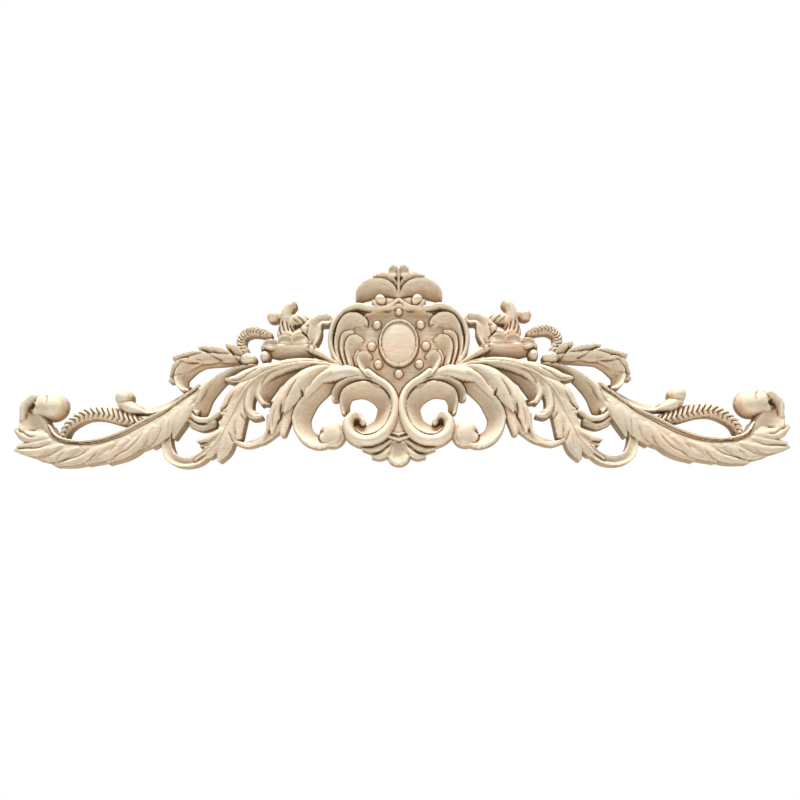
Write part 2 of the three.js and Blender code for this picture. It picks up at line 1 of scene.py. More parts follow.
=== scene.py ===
# %% [markdown]
# # A carved openwork crest of pale wood
#
# The object is one board of pale hardwood, 600 mm long and 20 mm thick, milled and carved into a crest of
# acanthus leaves, scrolls, twisted cords, two flowers and a small cartouche. It is glued flat onto
# furniture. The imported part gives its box, and this file carves the fine surface into it.
#
# Carving is a height over the flat back, so the surface can be worked out as a height map: every stroke of
# the carver's plan adds its own rounded, hollow or leaf-shaped ridge. The map then becomes a closed mesh.

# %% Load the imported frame
import math
import bpy
import numpy as np
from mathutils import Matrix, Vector
from mathutils.geometry import delaunay_2d_cdt


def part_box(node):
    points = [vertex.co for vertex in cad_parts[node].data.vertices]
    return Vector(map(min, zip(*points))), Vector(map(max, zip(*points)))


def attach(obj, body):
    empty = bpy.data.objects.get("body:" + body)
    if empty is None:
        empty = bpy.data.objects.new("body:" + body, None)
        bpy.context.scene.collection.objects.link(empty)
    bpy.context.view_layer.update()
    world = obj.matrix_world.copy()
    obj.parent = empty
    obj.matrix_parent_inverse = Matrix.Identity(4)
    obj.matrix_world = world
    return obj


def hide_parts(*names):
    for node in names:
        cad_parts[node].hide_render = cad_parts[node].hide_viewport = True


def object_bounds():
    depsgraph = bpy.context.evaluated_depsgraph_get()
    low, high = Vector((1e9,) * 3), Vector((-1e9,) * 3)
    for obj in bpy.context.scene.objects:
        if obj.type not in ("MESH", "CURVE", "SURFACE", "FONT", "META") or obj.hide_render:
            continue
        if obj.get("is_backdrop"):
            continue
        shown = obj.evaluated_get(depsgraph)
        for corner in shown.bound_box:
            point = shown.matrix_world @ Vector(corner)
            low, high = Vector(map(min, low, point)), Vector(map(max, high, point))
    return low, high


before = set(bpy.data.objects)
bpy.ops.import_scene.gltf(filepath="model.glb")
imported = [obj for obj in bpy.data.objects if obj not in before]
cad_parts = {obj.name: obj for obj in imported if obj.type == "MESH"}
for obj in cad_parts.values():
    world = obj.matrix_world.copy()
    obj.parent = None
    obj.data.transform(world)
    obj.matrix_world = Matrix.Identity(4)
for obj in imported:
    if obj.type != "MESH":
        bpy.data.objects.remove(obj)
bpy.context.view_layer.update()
board_low, board_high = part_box("carved_applique")
LENGTH = board_high.x - board_low.x
THICKNESS = board_high.y - board_low.y
print("board", round(LENGTH * 1000, 1), "x", round((board_high.z - board_low.z) * 1000, 1), "mm")

# %% [markdown]
# ## The carver's plan
#
# The crest is its own mirror image, so only one half is written down. A stroke is a short list of evenly
# spaced places from its root to its tip, in thousandths of the board's length: first outwards from the
# middle, then up. Its half widths are thousandths too, and its heights over the back are hundredths of the
# board's thickness. A stroke that runs over another simply stands higher there.

# %% The strokes of one half
# name: section, shoulder height, path from root to tip, half widths, crest heights
STROKES = {
    "tuft_lobe": ("hollow", 40, [(1, 74), (3, 85), (6, 97)], [1.5, 5], [65, 70]),
    "tuft_rib": ("round", 50, [(0, 63), (0, 82), (0, 101)], [1.5, 2], [70, 87, 90]),
    "feather": ("coveRight", 30, [(2, 73), (8, 86), (19, 93), (33, 94)], [2.5, 5.5, 6, 3], [65, 80, 72]),
    "finial_leaf": ("coveRight", 20, [(5, 64), (12, 73), (21, 78), (32, 80), (42, 77), (51, 71), (56, 62)],
        [5.5, 12, 12.5, 10, 2.5], [70, 82, 82, 68]),
    "finial_curl": ("round", 45, [(2, 59), (9, 53), (18, 49), (28, 50), (34, 58)], [3, 2.5], [82, 90, 85]),
    "finial_web": ("round", 30, [(5, 61), (15, 60), (25, 60)], [4, 7, 7], [55, 60]),
    "frame_rim": ("round", 45, [(0, 52), (19, 49), (38, 49), (57, 52), (74, 44), (86, 29), (91, 10),
        (89, -9), (81, -26)], [4, 4.5, 3.5, 3], [75, 84, 85, 70]),
    "frame_cove": ("coveRight", 40, [(0, 45), (21, 42), (43, 38)], [7.5, 7, 4.5], [70, 68]),
    "plume_1": ("coveLeft", 45, [(75, -30), (78, -21), (81, -12), (82, -3), (81, 7), (78, 16), (74, 24),
        (67, 31), (58, 32), (49, 28)], [2.5, 3, 4, 5.5, 8, 10.5, 8], [60, 71, 84, 85]),
    "plume_2": ("coveLeft", 45, [(70, -28), (72, -21), (74, -13), (75, -5), (73, 3), (70, 10), (63, 13)],
        [2.5, 3, 3.5, 5, 6.5, 4.5], [60, 75]),
    "plume_3": ("coveLeft", 45, [(63, -31), (65, -24), (66, -16), (66, -9), (64, -1), (59, 4), (52, 3)],
        [2.5, 3.5, 5, 7, 8.5, 5.5], [60, 64, 75, 76]),
    "plume_4": ("round", 45, [(55, -32), (58, -21), (54, -11)], [2, 2], [60, 68]),
    "s_scroll": ("round", 45, [(41, -40), (30, -49), (18, -57), (9, -68), (5, -82), (5, -96), (9, -109),
        (17, -121), (28, -129), (41, -132), (54, -129), (64, -120), (65, -106), (56, -97), (47, -106)],
        [5.5, 5.5, 6, 8, 8, 7.5, 4], [81, 92, 97, 98, 96, 80]),
    "scroll_head": ("coveLeft", 45, [(38, -44), (42, -39), (46, -34), (48, -28), (49, -22), (45, -17),
        (39, -20)], [4.5, 6, 7.5, 4], [83, 83, 85, 78]),
    "c_scroll": ("coveLeft", 20, [(70, -91), (71, -79), (67, -68), (56, -63), (44, -62), (33, -66),
        (23, -74), (18, -85), (20, -97), (25, -108), (35, -115), (46, -117), (56, -111)],
        [5.5, 8.5, 10.5, 11, 9.5, 8.5, 5.5], [60, 77, 78, 78, 70]),
    "c_leaf": ("coveRight", 25, [(27, -59), (34, -55), (41, -52), (49, -51), (57, -51), (64, -52), (72, -55),
        (78, -59), (82, -66), (83, -73)], [2.5, 4, 4.5, 5, 6, 5.5], [75, 83, 72]),
    "shell_mid": ("hollow", 50, [(0, -132), (0, -140), (0, -148)], [4.5, 15.5], [70, 78]),
    "shell_side_1": ("leaf", 45, [(5, -132), (9, -141), (16, -148), (24, -152), (33, -152)],
        [2.5, 4, 4, 2], [70, 78, 70]),
    "shell_side_2": ("leaf", 45, [(10, -132), (21, -140), (33, -144), (46, -142)],
        [2.5, 4, 1.5], [70, 75, 68]),
    "keystone": ("leaf", 45, [(0, -98), (0, -110), (0, -121)], [2, 6, 11], [75, 80]),
    "collar_1": ("round", 45, [(10, -121), (5, -123), (0, -125)], [1.5, 2], [82, 90]),
    "collar_2": ("round", 45, [(12, -127), (6, -129), (0, -131)], [2, 2], [80, 85]),
    "big_scroll": ("coveRight", 25, [(77, -49), (91, -56), (103, -65), (114, -75), (122, -87), (127, -101),
        (124, -116), (115, -127), (101, -132), (87, -128)], [6.5, 9.5, 12, 10.5, 7.5], [60, 87, 85]),
    "lobe_a": ("leaf", 50, [(43, -46), (61, -40), (80, -42), (97, -50)],
        [4, 6.5, 8, 7.5, 3.5], [72, 92, 82]),
    "lobe_b": ("leaf", 50, [(67, -37), (85, -40), (102, -47), (115, -61), (125, -77)],
        [4, 6.5, 8, 7, 2.5], [72, 90, 86, 75]),
    "lobe_c": ("leaf", 50, [(80, -34), (104, -36), (125, -49), (138, -70), (148, -92)],
        [4, 6, 8, 10, 10.5, 8.5, 2.5], [75, 90, 72]),
    "lobe_d": ("leaf", 50, [(114, -39), (135, -52), (150, -72), (161, -95), (164, -119)],
        [4, 6.5, 8, 7.5, 7, 2.5], [78, 81, 70]),
    "lobe_e": ("leaf", 40, [(139, -79), (146, -100), (150, -121)], [5, 7, 4], [60, 65]),
    "leaf_rib": ("round", 60, [(90, -30), (114, -28), (138, -29), (161, -35), (182, -45), (199, -62),
        (210, -82), (219, -103), (229, -124), (243, -142), (261, -156)], [2, 1.5], [80, 90, 83, 75]),
    "leaf_body": ("round", 55, [(84, -30), (109, -27), (134, -27), (158, -33), (180, -44), (197, -61),
        (210, -83), (218, -106), (228, -128), (244, -146)], [4, 7.5, 11.5, 13.5, 7], [70, 78, 72]),
    "leaf_l1": ("leaf", 50, [(163, -31), (176, -34), (188, -39), (200, -44), (213, -49), (227, -49)],
        [4, 7, 7, 2], [80, 84, 72]),
    "leaf_l2": ("leaf", 50, [(192, -51), (213, -68), (231, -88)], [5, 8.5, 2], [78, 80, 68]),
    "leaf_l3": ("leaf", 50, [(209, -78), (218, -87), (228, -95)], [5, 5.5, 3], [75, 70]),
    "leaf_l4": ("leaf", 50, [(218, -109), (230, -120), (244, -128), (259, -131)], [5, 5.5, 2], [75, 76, 68]),
    "leaf_l5": ("leaf", 50, [(229, -125), (237, -131), (245, -136), (255, -138)], [4, 3.5, 1.5], [72, 65]),
    "leaf_r1": ("coveRight", 20, [(115, -30), (122, -31), (128, -32), (135, -34), (141, -36), (147, -38),
        (153, -41), (159, -45), (164, -49), (168, -55), (171, -60), (174, -66), (176, -73), (172, -79),
        (167, -78)], [4, 7, 8.5, 8, 2.5], [70, 72]),
    "leaf_r1b": ("leaf", 50, [(162, -40), (173, -48), (181, -57), (184, -70), (178, -81)],
        [3.5, 5, 3], [80, 75]),
    "leaf_r2": ("leaf", 50, [(187, -51), (193, -60), (197, -70), (198, -81), (196, -91), (189, -99),
        (179, -99)], [5, 6.5, 5.5, 2.5], [80, 83, 75]),
    "leaf_r2b": ("leaf", 45, [(187, -61), (191, -68), (194, -76), (194, -84), (192, -92), (184, -95)],
        [4, 4.5, 2], [75, 70]),
    "leaf_r3": ("leaf", 50, [(200, -78), (206, -101), (207, -125)], [6, 8, 5], [80, 75]),
    "leaf_tip": ("leaf", 45, [(212, -99), (219, -118), (223, -137), (230, -155)],
        [6.5, 8.5, 9.5, 9, 3], [78, 81, 70]),
    "ring": ("round", 45, [(214, -130), (196, -136), (179, -131), (170, -115), (169, -97)],
        [3, 2.5, 3], [70, 72]),
    "ring_web": ("round", 40, [(198, -134), (179, -130), (164, -119), (150, -107)], [2.5, 5.5, 6], [50, 60]),
    "stem_cove": ("coveRight", 20, [(181, -30), (199, -32), (216, -36), (231, -45), (244, -57), (254, -71),
        (260, -88)], [2, 4.5, 8.5, 9.5], [75, 72]),
    "stem_lobe": ("leaf", 50, [(242, -47), (251, -54), (259, -64), (263, -75), (270, -84)],
        [2, 4.5, 2], [68, 77, 72]),
    "strap_1": ("round", 45, [(275, -91), (262, -102), (247, -102), (234, -93)], [4, 4], [68, 70]),
    "strap_2": ("round", 40, [(278, -97), (267, -107), (253, -111), (240, -105)], [2.5, 3], [60, 65]),
    "strap_3": ("round", 40, [(270, -108), (255, -113), (241, -109)], [4, 4], [52, 52]),
    "arm_body": ("round", 55, [(259, -65), (275, -82), (293, -95), (312, -107), (332, -118), (352, -128),
        (374, -136), (396, -140), (419, -141), (443, -137), (465, -126)],
        [5, 12, 13, 11, 9.5, 10.5, 13], [72, 75]),
    "arm_rim": ("round", 60, [(262, -57), (274, -66), (286, -76), (298, -86), (312, -94), (326, -101),
        (339, -108), (353, -116), (367, -122), (381, -127), (397, -130), (413, -131), (429, -129),
        (444, -123), (454, -110)], [1.5, 1.5], [80, 82]),
    "arm_a": ("leaf", 50, [(272, -83), (284, -104), (291, -126)], [6.5, 8, 2], [78, 79, 65]),
    "arm_b": ("leaf", 50, [(284, -91), (301, -114), (318, -137)], [6.5, 9.5, 9, 2.5], [78, 80, 65]),
    "arm_c": ("leaf", 50, [(303, -104), (318, -123), (335, -140)], [6.5, 8.5, 8, 2.5], [78, 77, 65]),
    "arm_d": ("leaf", 50, [(317, -113), (343, -138), (374, -158)], [6, 9, 8.5, 2], [78, 79, 65]),
    "arm_e": ("leaf", 50, [(349, -129), (373, -147), (402, -159)], [6, 7.5, 2.5], [78, 76, 65]),
    "arm_f": ("leaf", 50, [(369, -135), (392, -146), (416, -155), (442, -161)],
        [5, 8.5, 7.5, 2], [78, 79, 65]),
    "arm_g": ("leaf", 50, [(413, -140), (429, -146), (446, -152), (465, -152)], [5, 7.5, 2.5], [78, 76, 65]),
    "arm_h": ("leaf", 50, [(434, -137), (453, -142), (474, -144), (495, -142)], [5, 7.5, 2], [78, 79, 65]),
    "arm_i": ("leaf", 50, [(450, -131), (471, -135), (494, -137)], [5, 6, 1.5], [78, 77, 68]),
    "arm_j": ("leaf", 50, [(456, -126), (469, -126), (484, -124), (497, -116)],
        [6.5, 8, 7.5, 3], [78, 80, 68]),
    "end_stem": ("hollow", 45, [(451, -133), (463, -125), (473, -114), (481, -102), (483, -88)],
        [8, 18, 9], [75, 80, 72]),
    "end_roll": ("round", 15, [(470, -83), (463, -83), (456, -83)], [17.5, 18.5, 18.5], [92, 100]),
    "end_lip": ("round", 50, [(491, -101), (490, -84), (478, -72)], [3.5, 5, 5], [78, 92, 97]),
    "curl_stem": ("coveLeft", 30, [(272, -60), (284, -70), (296, -79), (310, -86), (324, -90), (340, -87)],
        [2, 5.5, 5], [72, 75]),
    "curl_cup": ("round", 30, [(335, -91), (349, -87), (363, -81)], [3, 5.5, 9, 6.5], [75, 80]),
    "loop": ("hollow", 50, [(298, -113), (300, -133), (293, -151), (276, -158), (258, -155), (244, -143)],
        [4, 7, 6.5, 6], [60, 74, 78]),
    "sprig_body": ("coveRight", 20, [(198, -22), (207, -22), (216, -21), (225, -20), (234, -20), (243, -20),
        (252, -20), (261, -21), (269, -24), (277, -29), (283, -35), (288, -42), (288, -51), (283, -59),
        (275, -59)], [4, 7, 9, 10, 3], [65, 74, 78, 72]),
    "sprig_a": ("coveRight", 40, [(204, -23), (215, -12), (229, -2)], [2.5, 8, 2.5], [55, 79, 70]),
    "sprig_b": ("coveRight", 40, [(215, -21), (239, -13), (265, -5)], [2.5, 8, 6.5, 2.5], [55, 79, 70]),
    "sprig_c": ("coveRight", 40, [(239, -20), (268, -17), (299, -19)], [2.5, 8, 6.5, 2.5], [55, 79, 70]),
    "sprig_d": ("coveRight", 40, [(264, -24), (279, -26), (292, -32), (300, -44)],
        [2.5, 9, 3], [55, 79, 70]),
    "sprig_e": ("coveRight", 40, [(285, -37), (293, -45), (302, -50)], [2, 4, 2], [55, 69, 65]),
    "calyx": ("coveLeft", 25, [(178, -7), (157, -10), (135, -11), (114, -8)], [6.5, 9, 7], [72, 84, 82]),
    "flower_stem": ("round", 45, [(115, -7), (97, -18), (80, -30)], [5.5, 2.5], [78, 70]),
    "petal_right": ("hollow", 50, [(119, -4), (115, 5), (112, 15), (111, 24), (105, 32), (95, 33)],
        [5.5, 9, 9, 7, 7], [78, 85, 80]),
    "petal_back": ("round", 45, [(142, 8), (127, 19), (115, 33)], [8, 7.5, 5.5], [65, 70]),
    "pistil": ("round", 45, [(151, 15), (151, 25), (151, 35), (151, 44), (147, 53)],
        [12, 8.5, 6.5], [68, 85]),
    "stub_neck": ("round", 30, [(168, 40), (161, 41), (155, 41)], [5, 5], [65, 70]),
    "stamens": ("round", 40, [(150, 28), (138, 35), (124, 34)], [6.5, 8, 5], [70, 75, 65]),
}

# %% Cords, knobs, petals and pearls
# name: twists, outer side (1 right, -1 left), shoulder height, path, half widths, crest heights
CORDS = {
    "arm_rope": (17, 1, 30, [(339, -104), (356, -100), (372, -95), (389, -92), (406, -93), (421, -100),
        (433, -111), (438, -127)], [7, 10, 9.5, 8.5, 7, 5], [72, 80, 70]),
    "hook_rope": (13, -1, 30, [(205, -11), (211, 1), (209, 13), (198, 19), (186, 18), (174, 14)],
        [6, 7, 5], [80, 72]),
}
# name: middle outwards and up, half sizes, shoulder height, top height
KNOBS = {
    "finial_ball": (25, 60, 7.5, 7.5, 45, 100),
    "petal_bulb": (178, -16, 7, 8, 25, 72),
    "stamen_knob": (145, 56, 7, 7, 30, 75),
    "stub_left": (169, 40, 9, 8, 25, 75),
    "hook_bud": (200, -20, 11, 8, 25, 85),
    "volute": (86, -123, 17, 16.5, 50, 90),
    "arm_knob": (362, -72, 11.5, 11, 20, 90),
}
# The same, for petals that are hollow like a bowl
BOWLS = {
    "tuft_bowl": (7, 100, 7.5, 8.5, 45, 92),
    "petal_left": (170, -1, 11, 7, 45, 82),
    "petal_mid_1": (151, 2, 11, 10, 45, 85),
    "petal_mid_2": (131, 3, 11.5, 10, 45, 86),
}
# The middle and radius of each pearl, and their shoulder and top heights
PEARLS = [(0, 44, 5), (29, 26, 5.5), (36, -4, 5.5), (27, -29, 5.5), (0, -42, 5.5)]
PEARL_HEIGHTS = (45, 78)

# %% The plate of the cartouche
PLATE = [[0, 53], [25, 49], [50, 51], [71, 47], [86, 31], [92, 9], [89, -11], [81, -25], [62, -32],
         [46, -39], [25, -55], [9, -70], [0, -88]]
PLATE_HEIGHT = 48

# %% Thin cuts
# name: half width, depth, path
CUTS = {
    "rim": (1.3, 8, [(457, -108), (449, -123), (435, -132), (419, -134), (403, -135), (387, -133),
        (372, -129), (357, -124), (343, -117), (329, -109), (316, -101), (303, -93), (292, -82), (280, -72),
        (269, -60)]),
    "end_1": (1.8, 9, [(498, -115), (488, -119), (478, -125), (468, -125)]),
    "end_2": (1.3, 6, [(490, -134), (484, -132), (478, -132)]),
    "end_3": (1.4, 7, [(493, -140), (480, -139), (467, -140), (455, -137)]),
    "end_4": (1.4, 6, [(470, -151), (463, -150), (457, -148), (451, -144)]),
    "end_5": (1.3, 6, [(441, -156), (436, -150), (429, -146)]),
    "end_6": (1.7, 8, [(436, -158), (428, -155), (420, -153), (412, -151), (405, -147), (398, -143)]),
    "arm_1": (1.5, 7, [(406, -160), (396, -154), (388, -146)]),
    "arm_2": (1.3, 6, [(372, -147), (368, -141), (363, -136)]),
    "arm_3": (1.7, 8, [(370, -156), (360, -148), (348, -142), (339, -133), (331, -122)]),
    "arm_4": (1.3, 6, [(333, -140), (327, -135), (323, -127)]),
    "arm_5": (1.4, 5, [(321, -137), (311, -127), (306, -113)]),
    "arm_6": (1.3, 5, [(298, -125), (298, -114), (297, -104)]),
    "roll": (1.4, 9, [(465, -68), (459, -75), (458, -84)]),
    "roll_pocket": (6.5, 45, [(481, -88), (480, -84), (477, -80)]),
    "knob_lip": (1.6, 8, [(366, -82), (363, -85), (361, -88)]),
    "sprig_1": (1.3, 11, [(262, -6), (253, -13), (243, -18), (232, -22)]),
    "sprig_2": (1.3, 5, [(249, -9), (241, -13), (234, -16)]),
    "sprig_3": (1.3, 11, [(227, -4), (219, -16), (209, -26)]),
    "sprig_4": (1.5, 12, [(295, -22), (284, -25), (273, -25), (263, -24)]),
    "sprig_5": (1.4, 8, [(301, -49), (296, -45), (292, -41), (286, -39)]),
    "sprig_pocket": (3.4, 30, [(278, -57), (276, -60), (274, -63)]),
    "web": (1.6, 8, [(272, -86), (264, -75), (260, -61)]),
    "strap": (1.4, 9, [(268, -103), (258, -109), (247, -109), (237, -105)]),
    "leaf_1": (1.6, 9, [(183, -35), (196, -42), (210, -50), (225, -50)]),
    "leaf_2": (1.6, 9, [(214, -68), (220, -76), (224, -84), (232, -90)]),
    "leaf_3": (1.7, 18, [(221, -61), (217, -58), (212, -56)]),
    "leaf_4": (1.3, 6, [(223, -92), (226, -93), (230, -94)]),
    "leaf_5": (1.4, 8, [(197, -67), (200, -76), (201, -86), (198, -95), (189, -100)]),
    "leaf_6": (1.4, 8, [(205, -96), (202, -101), (197, -106)]),
    "leaf_7": (1.6, 8, [(171, -44), (177, -51), (180, -60)]),
    "leaf_8": (1.4, 8, [(219, -120), (216, -127), (213, -134)]),
    "leaf_9": (1.4, 8, [(234, -124), (243, -130), (254, -133)]),
    "leaf_10": (1.3, 6, [(244, -135), (249, -137), (253, -139)]),
    "leaf_11": (1.2, 4, [(224, -146), (222, -137), (221, -128)]),
    "leaf_12": (1.2, 4, [(209, -127), (212, -116), (212, -104)]),
    "leaf_pocket": (3, 25, [(170, -79), (168, -80), (167, -81)]),
    "lobe_1": (1.6, 8, [(132, -50), (141, -63), (147, -77)]),
    "lobe_2": (1.8, 15, [(128, -63), (126, -69), (124, -75)]),
    "lobe_3": (1.8, 9, [(93, -37), (104, -43), (113, -53), (120, -65)]),
    "lobe_4": (1.8, 15, [(152, -81), (154, -92), (153, -102)]),
    "lobe_5": (1.3, 6, [(163, -116), (163, -101), (159, -87)]),
    "lobe_7": (1.6, 9, [(68, -50), (77, -53), (85, -60), (89, -69)]),
    "plume_1": (1.2, 6, [(80, 1), (78, -17), (71, -32)]),
    "plume_2": (1.2, 6, [(73, -9), (70, -21), (66, -33)]),
    "plume_3": (1.2, 5, [(64, -13), (60, -24), (56, -35)]),
    "plume_4": (1.7, 12, [(85, 16), (83, 25), (78, 34), (72, 41), (64, 45), (54, 46), (46, 41), (41, 33)]),
    "boss_shade": (1.5, 5, [(62, 18), (59, 23), (54, 24), (50, 21)]),
    "keystone": (1.4, 9, [(10, -122), (6, -125), (0, -126)]),
    "shell_1": (1.3, 8, [(5, -133), (10, -143), (14, -154)]),
    "shell_2": (1.3, 8, [(10, -134), (15, -139), (21, -144), (27, -147), (35, -146)]),
    "shell_lip": (1.1, 5, [(13, -158), (7, -162), (0, -163)]),
    "calyx_1": (1.6, 8, [(116, -13), (111, -8), (106, -2)]),
    "calyx_2": (1.3, 6, [(121, -7), (116, -1), (112, 6)]),
    "petal_1": (2, 30, [(130, 18), (125, 12), (120, 6)]),
    "petal_2": (1.6, 8, [(125, 24), (122, 24), (119, 24)]),
    "bud_1": (1.5, 8, [(206, -14), (203, -11), (198, -10)]),
    "bud_2": (1.2, 5, [(203, -19), (201, -20), (200, -21)]),
    "bud_3": (1.6, 9, [(180, -25), (175, -26), (170, -23)]),
    "volute_eye": (5.9, 35, [(101, -117), (101, -120), (100, -122)]),
    "curl_eye": (4.1, 40, [(58, -107), (54, -104), (51, -107)]),
    "slit_1": (1.5, 15, [(142, 34), (136, 31), (130, 27)]),
    "slit_2": (1.5, 15, [(137, 38), (131, 34), (126, 29)]),
    "slit_3": (1.5, 13, [(132, 41), (125, 37), (121, 32)]),
    "slit_4": (1.5, 15, [(150, 31), (149, 24), (147, 16)]),
    "slit_5": (1.5, 15, [(146, 27), (144, 21), (141, 16)]),
    "slit_6": (1.5, 15, [(156, 33), (155, 24), (152, 15)]),
    "slit_7": (1.5, 13, [(160, 26), (159, 18), (157, 11)]),
    "slit_pocket": (2.9, 30, [(141, 28), (136, 24), (132, 21)]),
    "cove_shade": (6.7, 10, [(44, 40), (24, 42), (6, 47)]),
    "scroll_edge": (1.6, 11, [(47, -43), (39, -52), (30, -59), (20, -64), (13, -73), (10, -84)]),
    "volute_rim": (1.5, 7, [(79, -111), (74, -120), (75, -130), (82, -138)]),
}
print("strokes", len(STROKES), "cords", len(CORDS), "knobs", len(KNOBS), "cuts", len(CUTS))

# %% [markdown]
# ## Curves and cross-sections
#
# A drawn scroll needs a smooth curve through a few places, so the strokes are Catmull-Rom curves, which pass
# through every place and never swing wide. Across a stroke, the surface is one of the sections that a
# carver's gouges leave: a round bead, a low crowned leaf lobe, a hollow with two rims, or a cove with its
# rim on the left or on the right.

# %% Curve helpers
def smooth_curve(points, steps=10):
    """A curve through the points, with the same number of steps between each two of them."""
    p = np.array(points, float)
    p = np.vstack([2 * p[0] - p[1], p, 2 * p[-1] - p[-2]])
    run = np.maximum(np.hypot(*np.diff(p[:, :2], axis=0).T), 1e-6) ** 0.5
    curve = []
    for i in range(1, len(p) - 2):
        before, here, there = run[i - 1:i + 2]
        last, start, end, after = p[i - 1:i + 3]
        leave = ((start - last) / before - (end - last) / (before + here) + (end - start) / here) * here
        reach = ((end - start) / here - (after - start) / (here + there) + (after - end) / there) * here
        for t in np.arange(steps) / steps:
            from_start = (2 * t**3 - 3 * t**2 + 1) * start + (t**3 - 2 * t**2 + t) * leave
            curve.append(from_start + (3 * t**2 - 2 * t**3) * end + (t**3 - t**2) * reach)
    return np.array(curve + [p[-2]])


def even_values(values, shares):
    """Smooth values at shares of a stroke's length, from a few values spaced evenly along it."""
    v = np.array(values, float)
    v = np.concatenate([[2 * v[0] - v[1]], v, [2 * v[-1] - v[-2]]])
    place = shares * (len(values) - 1)
    i = np.minimum(place.astype(int), len(values) - 2)
    f = place - i
    a, b, c, d = v[i], v[i + 1], v[i + 2], v[i + 3]
    return b + 0.5 * ((c - a) * f + (2 * a - 5 * b + 4 * c - d) * f**2 + (3 * b - a - 3 * c + d) * f**3)


# %% Cross-sections
LEAF_SIDE = 0.62
HOLLOW_FLOOR = 0.42
HOLLOW_ROUNDING = 0.14
COVE_FLOOR = 0.12
COVE_ROUNDING = 0.2


def rounded_edge(across, rounding):
    """1 over a stroke, falling to 0 along a quarter round at its edge."""
    return np.sqrt(np.clip((1 - across) / rounding, 0, 1))


def section(kind, across):
    """Share of the way from shoulder to crest, across a stroke from -1 (its left) to 1 (its right)."""
    a = np.clip(np.abs(across), 0, 1)
    if kind == "round":
        return np.sqrt(1 - a**2)
    if kind == "leaf":
        return LEAF_SIDE + (1 - LEAF_SIDE) * (1 - a**2)
    if kind == "hollow":
        return rounded_edge(a, HOLLOW_ROUNDING) * (HOLLOW_FLOOR + (1 - HOLLOW_FLOOR) * a**1.8)
    towards_rim = -across if kind == "coveLeft" else across
    rise = np.clip((towards_rim + 0.9) / 1.7, 0, 1) ** 1.5
    return rounded_edge(a, COVE_ROUNDING) * (COVE_FLOOR + (1 - COVE_FLOOR) * rise)


print("middle of a hollow", section("hollow", np.zeros(1)), "and of a cove", section("coveLeft", np.zeros(1)))

# %% [markdown]
# ## The height map
#
# The map is a fine grid over one half of the board. For each stroke, every grid point near it looks up the
# closest place on the curve: how far it is along, how far across, and from that its height. The highest
# stroke wins, and a little wood is left in the corner where two strokes meet. A second map keeps how deep
# inside the outline each point is, which later gives a clean sawn edge.

# %% Empty maps
PITCH = 1.2
MAP_REACH = 508
MAP_BOTTOM, MAP_TOP = -178, 108
across_axis = np.arange(0, MAP_REACH, PITCH)
up_axis = np.arange(MAP_BOTTOM, MAP_TOP, PITCH)
OUT, UP = np.meshgrid(across_axis, up_axis)
height = np.zeros(OUT.shape)
edge_height = np.zeros(OUT.shape)
owner = np.zeros(OUT.shape, int)
inside = np.full(OUT.shape, -9.0)
print("map", OUT.shape, "points,", round(PITCH * LENGTH, 2), "mm apart")

# %% Map helpers
OVERHANG = 2.5
MELT = 3


def window(low, high):
    """The part of the map between two corners."""
    i0, i1 = np.searchsorted(across_axis, [low[0], high[0]])
    j0, j1 = np.searchsorted(up_axis, [low[1], high[1]])
    return slice(j0, j1), slice(i0, i1)


def window_round(curve, reach):
    return window((curve[:, :2] - reach).min(0), (curve[:, :2] + reach).max(0))


def raise_to(view, depth, value):
    """Keeps the higher surface and the deeper outline of what is there and a new stroke."""
    wins = (depth > 0) & (value > height[view])
    owner[view] = np.where(wins, owner.max() + 1, owner[view])
    blend = np.clip(0.5 + (value - height[view]) / (2 * MELT), 0, 1)
    joined = height[view] + (value - height[view]) * blend + MELT * blend * (1 - blend)
    height[view] = np.where(depth > 0, joined, height[view])
    edge_height[view] = np.where(depth > inside[view], value, edge_height[view])
    inside[view] = np.maximum(inside[view], depth)


def nearest_on(curve, view):
    """Share out from the middle, place across and along, half width, crest, and the whole length."""
    out, up = OUT[view], UP[view]
    best = np.full(out.shape, 1e9)
    found = [np.zeros(out.shape) for _ in range(4)]
    runs = np.hypot(*np.diff(curve[:, :2], axis=0).T)
    starts = np.concatenate([[0], np.cumsum(runs)])
    for a, b, run, start in zip(curve[:-1], curve[1:], runs, starts):
        if run < 1e-9:
            continue
        d = b - a
        t = np.clip(((out - a[0]) * d[0] + (up - a[1]) * d[1]) / run**2, 0, 1)
        x, z = out - a[0] - d[0] * t, up - a[1] - d[1] * t
        half = a[2] + d[2] * t
        share = np.hypot(x, z) / half
        closer = share < best
        best = np.where(closer, share, best)
        # The plan is the left half, seen from the front, so left and right swap on these axes
        side = np.where(d[0] * z - d[1] * x > 0, 1.0, -1.0)
        for kept, new in zip(found, (side * share, start + run * t, half, a[3] + d[3] * t)):
            kept[...] = np.where(closer, new, kept)
    return best, *found, starts[-1]


# %% Carve the strokes
THINNEST = 0.4


def stroke_curve(path, half, crest):
    """A stroke's smooth curve, with its half width and crest height at each place."""
    rough = smooth_curve(path)
    shares = np.linspace(0, 1, len(rough))
    return np.c_[rough, np.maximum(even_values(half, shares), THINNEST), even_values(crest, shares)]


for kind, shoulder, path, half, crest in STROKES.values():
    curve = stroke_curve(path, half, crest)
    view = window_round(curve, curve[:, 2:3] + OVERHANG)
    share, across, along, wide, top, run = nearest_on(curve, view)
    raise_to(view, (1 - share) * wide, shoulder + (top - shoulder) * section(kind, across))
print("carved", len(STROKES), "strokes through", sum(len(row[2]) for row in STROKES.values()), "places")

# %% [markdown]
# ## Twisted cords
#
# The two cords are carved as if a plait lay on the wood. Its strands run out to both sides from a line that
# lies a little inside the middle, so the notch between two strands moves along with the distance from that
# line. Only the innermost edge stays a plain bead. Each nick lowers the surface and draws in the outline as
# well.

